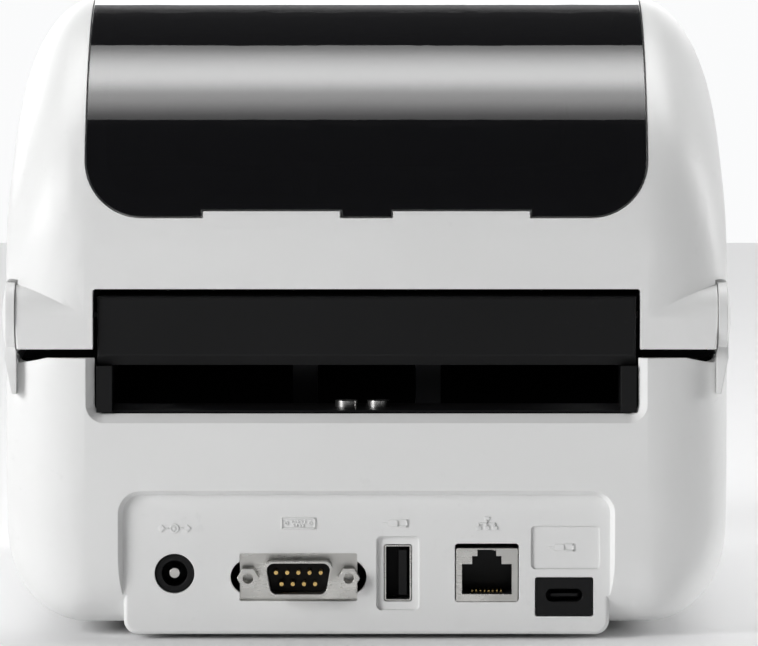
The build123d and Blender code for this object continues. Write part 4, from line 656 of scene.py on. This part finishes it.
SOFTBOX_LOW = Vector((-0.8, -0.64, 1.15))
SOFTBOX_HIGH = Vector((0.8, 0.25, 1.15))
SOFTBOX_GLOW = [(0.0, 0.20), (0.37, 1.0), (0.62, 0.55), (1.0, 0.16)]
SOFTBOX_PEAK = 10.2
SOFTBOX_SPILL = 3.5
shape = bmesh.new()
bmesh.ops.create_grid(shape, x_segments=8, y_segments=8, size=0.5)
size = SOFTBOX_HIGH - SOFTBOX_LOW
bmesh.ops.scale(shape, verts=shape.verts, vec=(size.x, size.y, 1))
bmesh.ops.translate(shape, verts=shape.verts, vec=(SOFTBOX_LOW + SOFTBOX_HIGH) / 2)
bmesh.ops.reverse_faces(shape, faces=shape.faces)
softbox_mesh = bpy.data.meshes.new("overhead_softbox")
shape.to_mesh(softbox_mesh)
shape.free()
glow = bpy.data.materials.new("softbox_glow")
glow.use_nodes = True
tree = glow.node_tree
tree.nodes.clear()
lamp = tree.nodes.new("ShaderNodeEmission")
out = tree.nodes.new("ShaderNodeOutputMaterial")
tree.links.new(lamp.outputs[0], out.inputs[0])
where = tree.nodes.new("ShaderNodeTexCoord")
parts = tree.nodes.new("ShaderNodeSeparateXYZ")
tree.links.new(where.outputs["Object"], parts.inputs["Vector"])
along = tree.nodes.new("ShaderNodeMapRange")
along.inputs["From Min"].default_value = SOFTBOX_LOW.y
along.inputs["From Max"].default_value = SOFTBOX_HIGH.y
tree.links.new(parts.outputs["Y"], along.inputs["Value"])
fade = tree.nodes.new("ShaderNodeValToRGB")
fade.color_ramp.interpolation = "EASE"
while len(fade.color_ramp.elements) < len(SOFTBOX_GLOW):
    fade.color_ramp.elements.new(0.5)
for element, (place, level) in zip(fade.color_ramp.elements, SOFTBOX_GLOW):
    element.position, element.color = place, (level, level, level, 1)
tree.links.new(along.outputs["Result"], fade.inputs["Fac"])
tree.links.new(fade.outputs["Color"], lamp.inputs["Color"])
seen_by = tree.nodes.new("ShaderNodeLightPath")
strength = tree.nodes.new("ShaderNodeMapRange")
strength.inputs["To Min"].default_value = SOFTBOX_SPILL
strength.inputs["To Max"].default_value = SOFTBOX_PEAK
tree.links.new(seen_by.outputs["Is Glossy Ray"], strength.inputs["Value"])
tree.links.new(strength.outputs["Result"], lamp.inputs["Strength"])
softbox_mesh.materials.append(glow)
softbox = bpy.data.objects.new("overhead_softbox", softbox_mesh)
bpy.context.scene.collection.objects.link(softbox)
softbox.visible_camera = False


def side_light(name, place, target, size, power):
    lamp = bpy.data.lights.new(name, "AREA")
    lamp.shape = "RECTANGLE"
    lamp.size, lamp.size_y = size
    lamp.energy = power
    stand = bpy.data.objects.new(name, lamp)
    bpy.context.scene.collection.objects.link(stand)
    stand.location = place
    stand.rotation_mode = "QUATERNION"
    stand.rotation_quaternion = (Vector(target) - Vector(place)).to_track_quat("-Z", "Y")
    stand.visible_camera = False
    return stand


MACHINE_MIDDLE = (0, 0.05, 0.08)
side_light("left_softbox", (1.7, 1.2, 0.75), MACHINE_MIDDLE, (0.9, 1.1), 34)
side_light("right_softbox", (-2.2, -0.30, 0.75), MACHINE_MIDDLE, (0.9, 1.2), 27)
side_light("front_softbox", (0.5, -2.4, 0.60), (0, 0, 0.08), (2.6, 0.7), 18)

world = bpy.data.worlds.new("pale_room")
bpy.context.scene.world = world
world.use_nodes = True
tree = world.node_tree
tree.nodes.clear()


def world_node(kind, **inputs):
    made = tree.nodes.new(kind)
    for name, value in inputs.items():
        socket = made.inputs[name.replace("_", " ")]
        if isinstance(value, bpy.types.NodeSocket):
            tree.links.new(value, socket)
        else:
            socket.default_value = value
    return made


rays = world_node("ShaderNodeLightPath")
direction = world_node("ShaderNodeTexCoord").outputs["Generated"]
split = world_node("ShaderNodeSeparateXYZ", Vector=direction)
seen = world_node("ShaderNodeBackground", Color=(0.96, 0.965, 0.97, 1), Strength=1.0)
fill = world_node("ShaderNodeBackground", Color=(0.97, 0.98, 1.0, 1), Strength=0.03)
behind = tree.nodes.new("ShaderNodeMapRange")
behind.inputs["From Min"].default_value = -0.90
behind.inputs["From Max"].default_value = -0.97
behind.inputs["To Min"].default_value = 0.05
behind.inputs["To Max"].default_value = 0.6
tree.links.new(split.outputs["Y"], behind.inputs["Value"])
mirror = world_node("ShaderNodeBackground", Color=(0.97, 0.98, 1.0, 1), Strength=behind.outputs["Result"])
glossy = tree.nodes.new("ShaderNodeMixShader")
tree.links.new(rays.outputs["Is Glossy Ray"], glossy.inputs[0])
tree.links.new(fill.outputs[0], glossy.inputs[1])
tree.links.new(mirror.outputs[0], glossy.inputs[2])
final = tree.nodes.new("ShaderNodeMixShader")
tree.links.new(rays.outputs["Is Camera Ray"], final.inputs[0])
tree.links.new(glossy.outputs[0], final.inputs[1])
tree.links.new(seen.outputs[0], final.inputs[2])
sky = tree.nodes.new("ShaderNodeOutputWorld")
tree.links.new(final.outputs[0], sky.inputs[0])
bpy.context.scene.view_settings.view_transform = "Standard"

CAMERA_PLACE = Vector((-0.0031, 2.104, 0.234))
CAMERA_AIM = Vector((-0.0031, 0.110, 0.079))
camera = bpy.data.objects.new("camera", bpy.data.cameras.new("camera"))
bpy.context.scene.collection.objects.link(camera)
camera.location = CAMERA_PLACE
camera.rotation_mode = "QUATERNION"
camera.rotation_quaternion = (CAMERA_AIM - CAMERA_PLACE).to_track_quat("-Z", "Y")
camera.data.lens = 383.7
camera.data.sensor_width = 36
camera.data.clip_start = 0.05
camera.data.clip_end = 60
bpy.context.scene.camera = camera
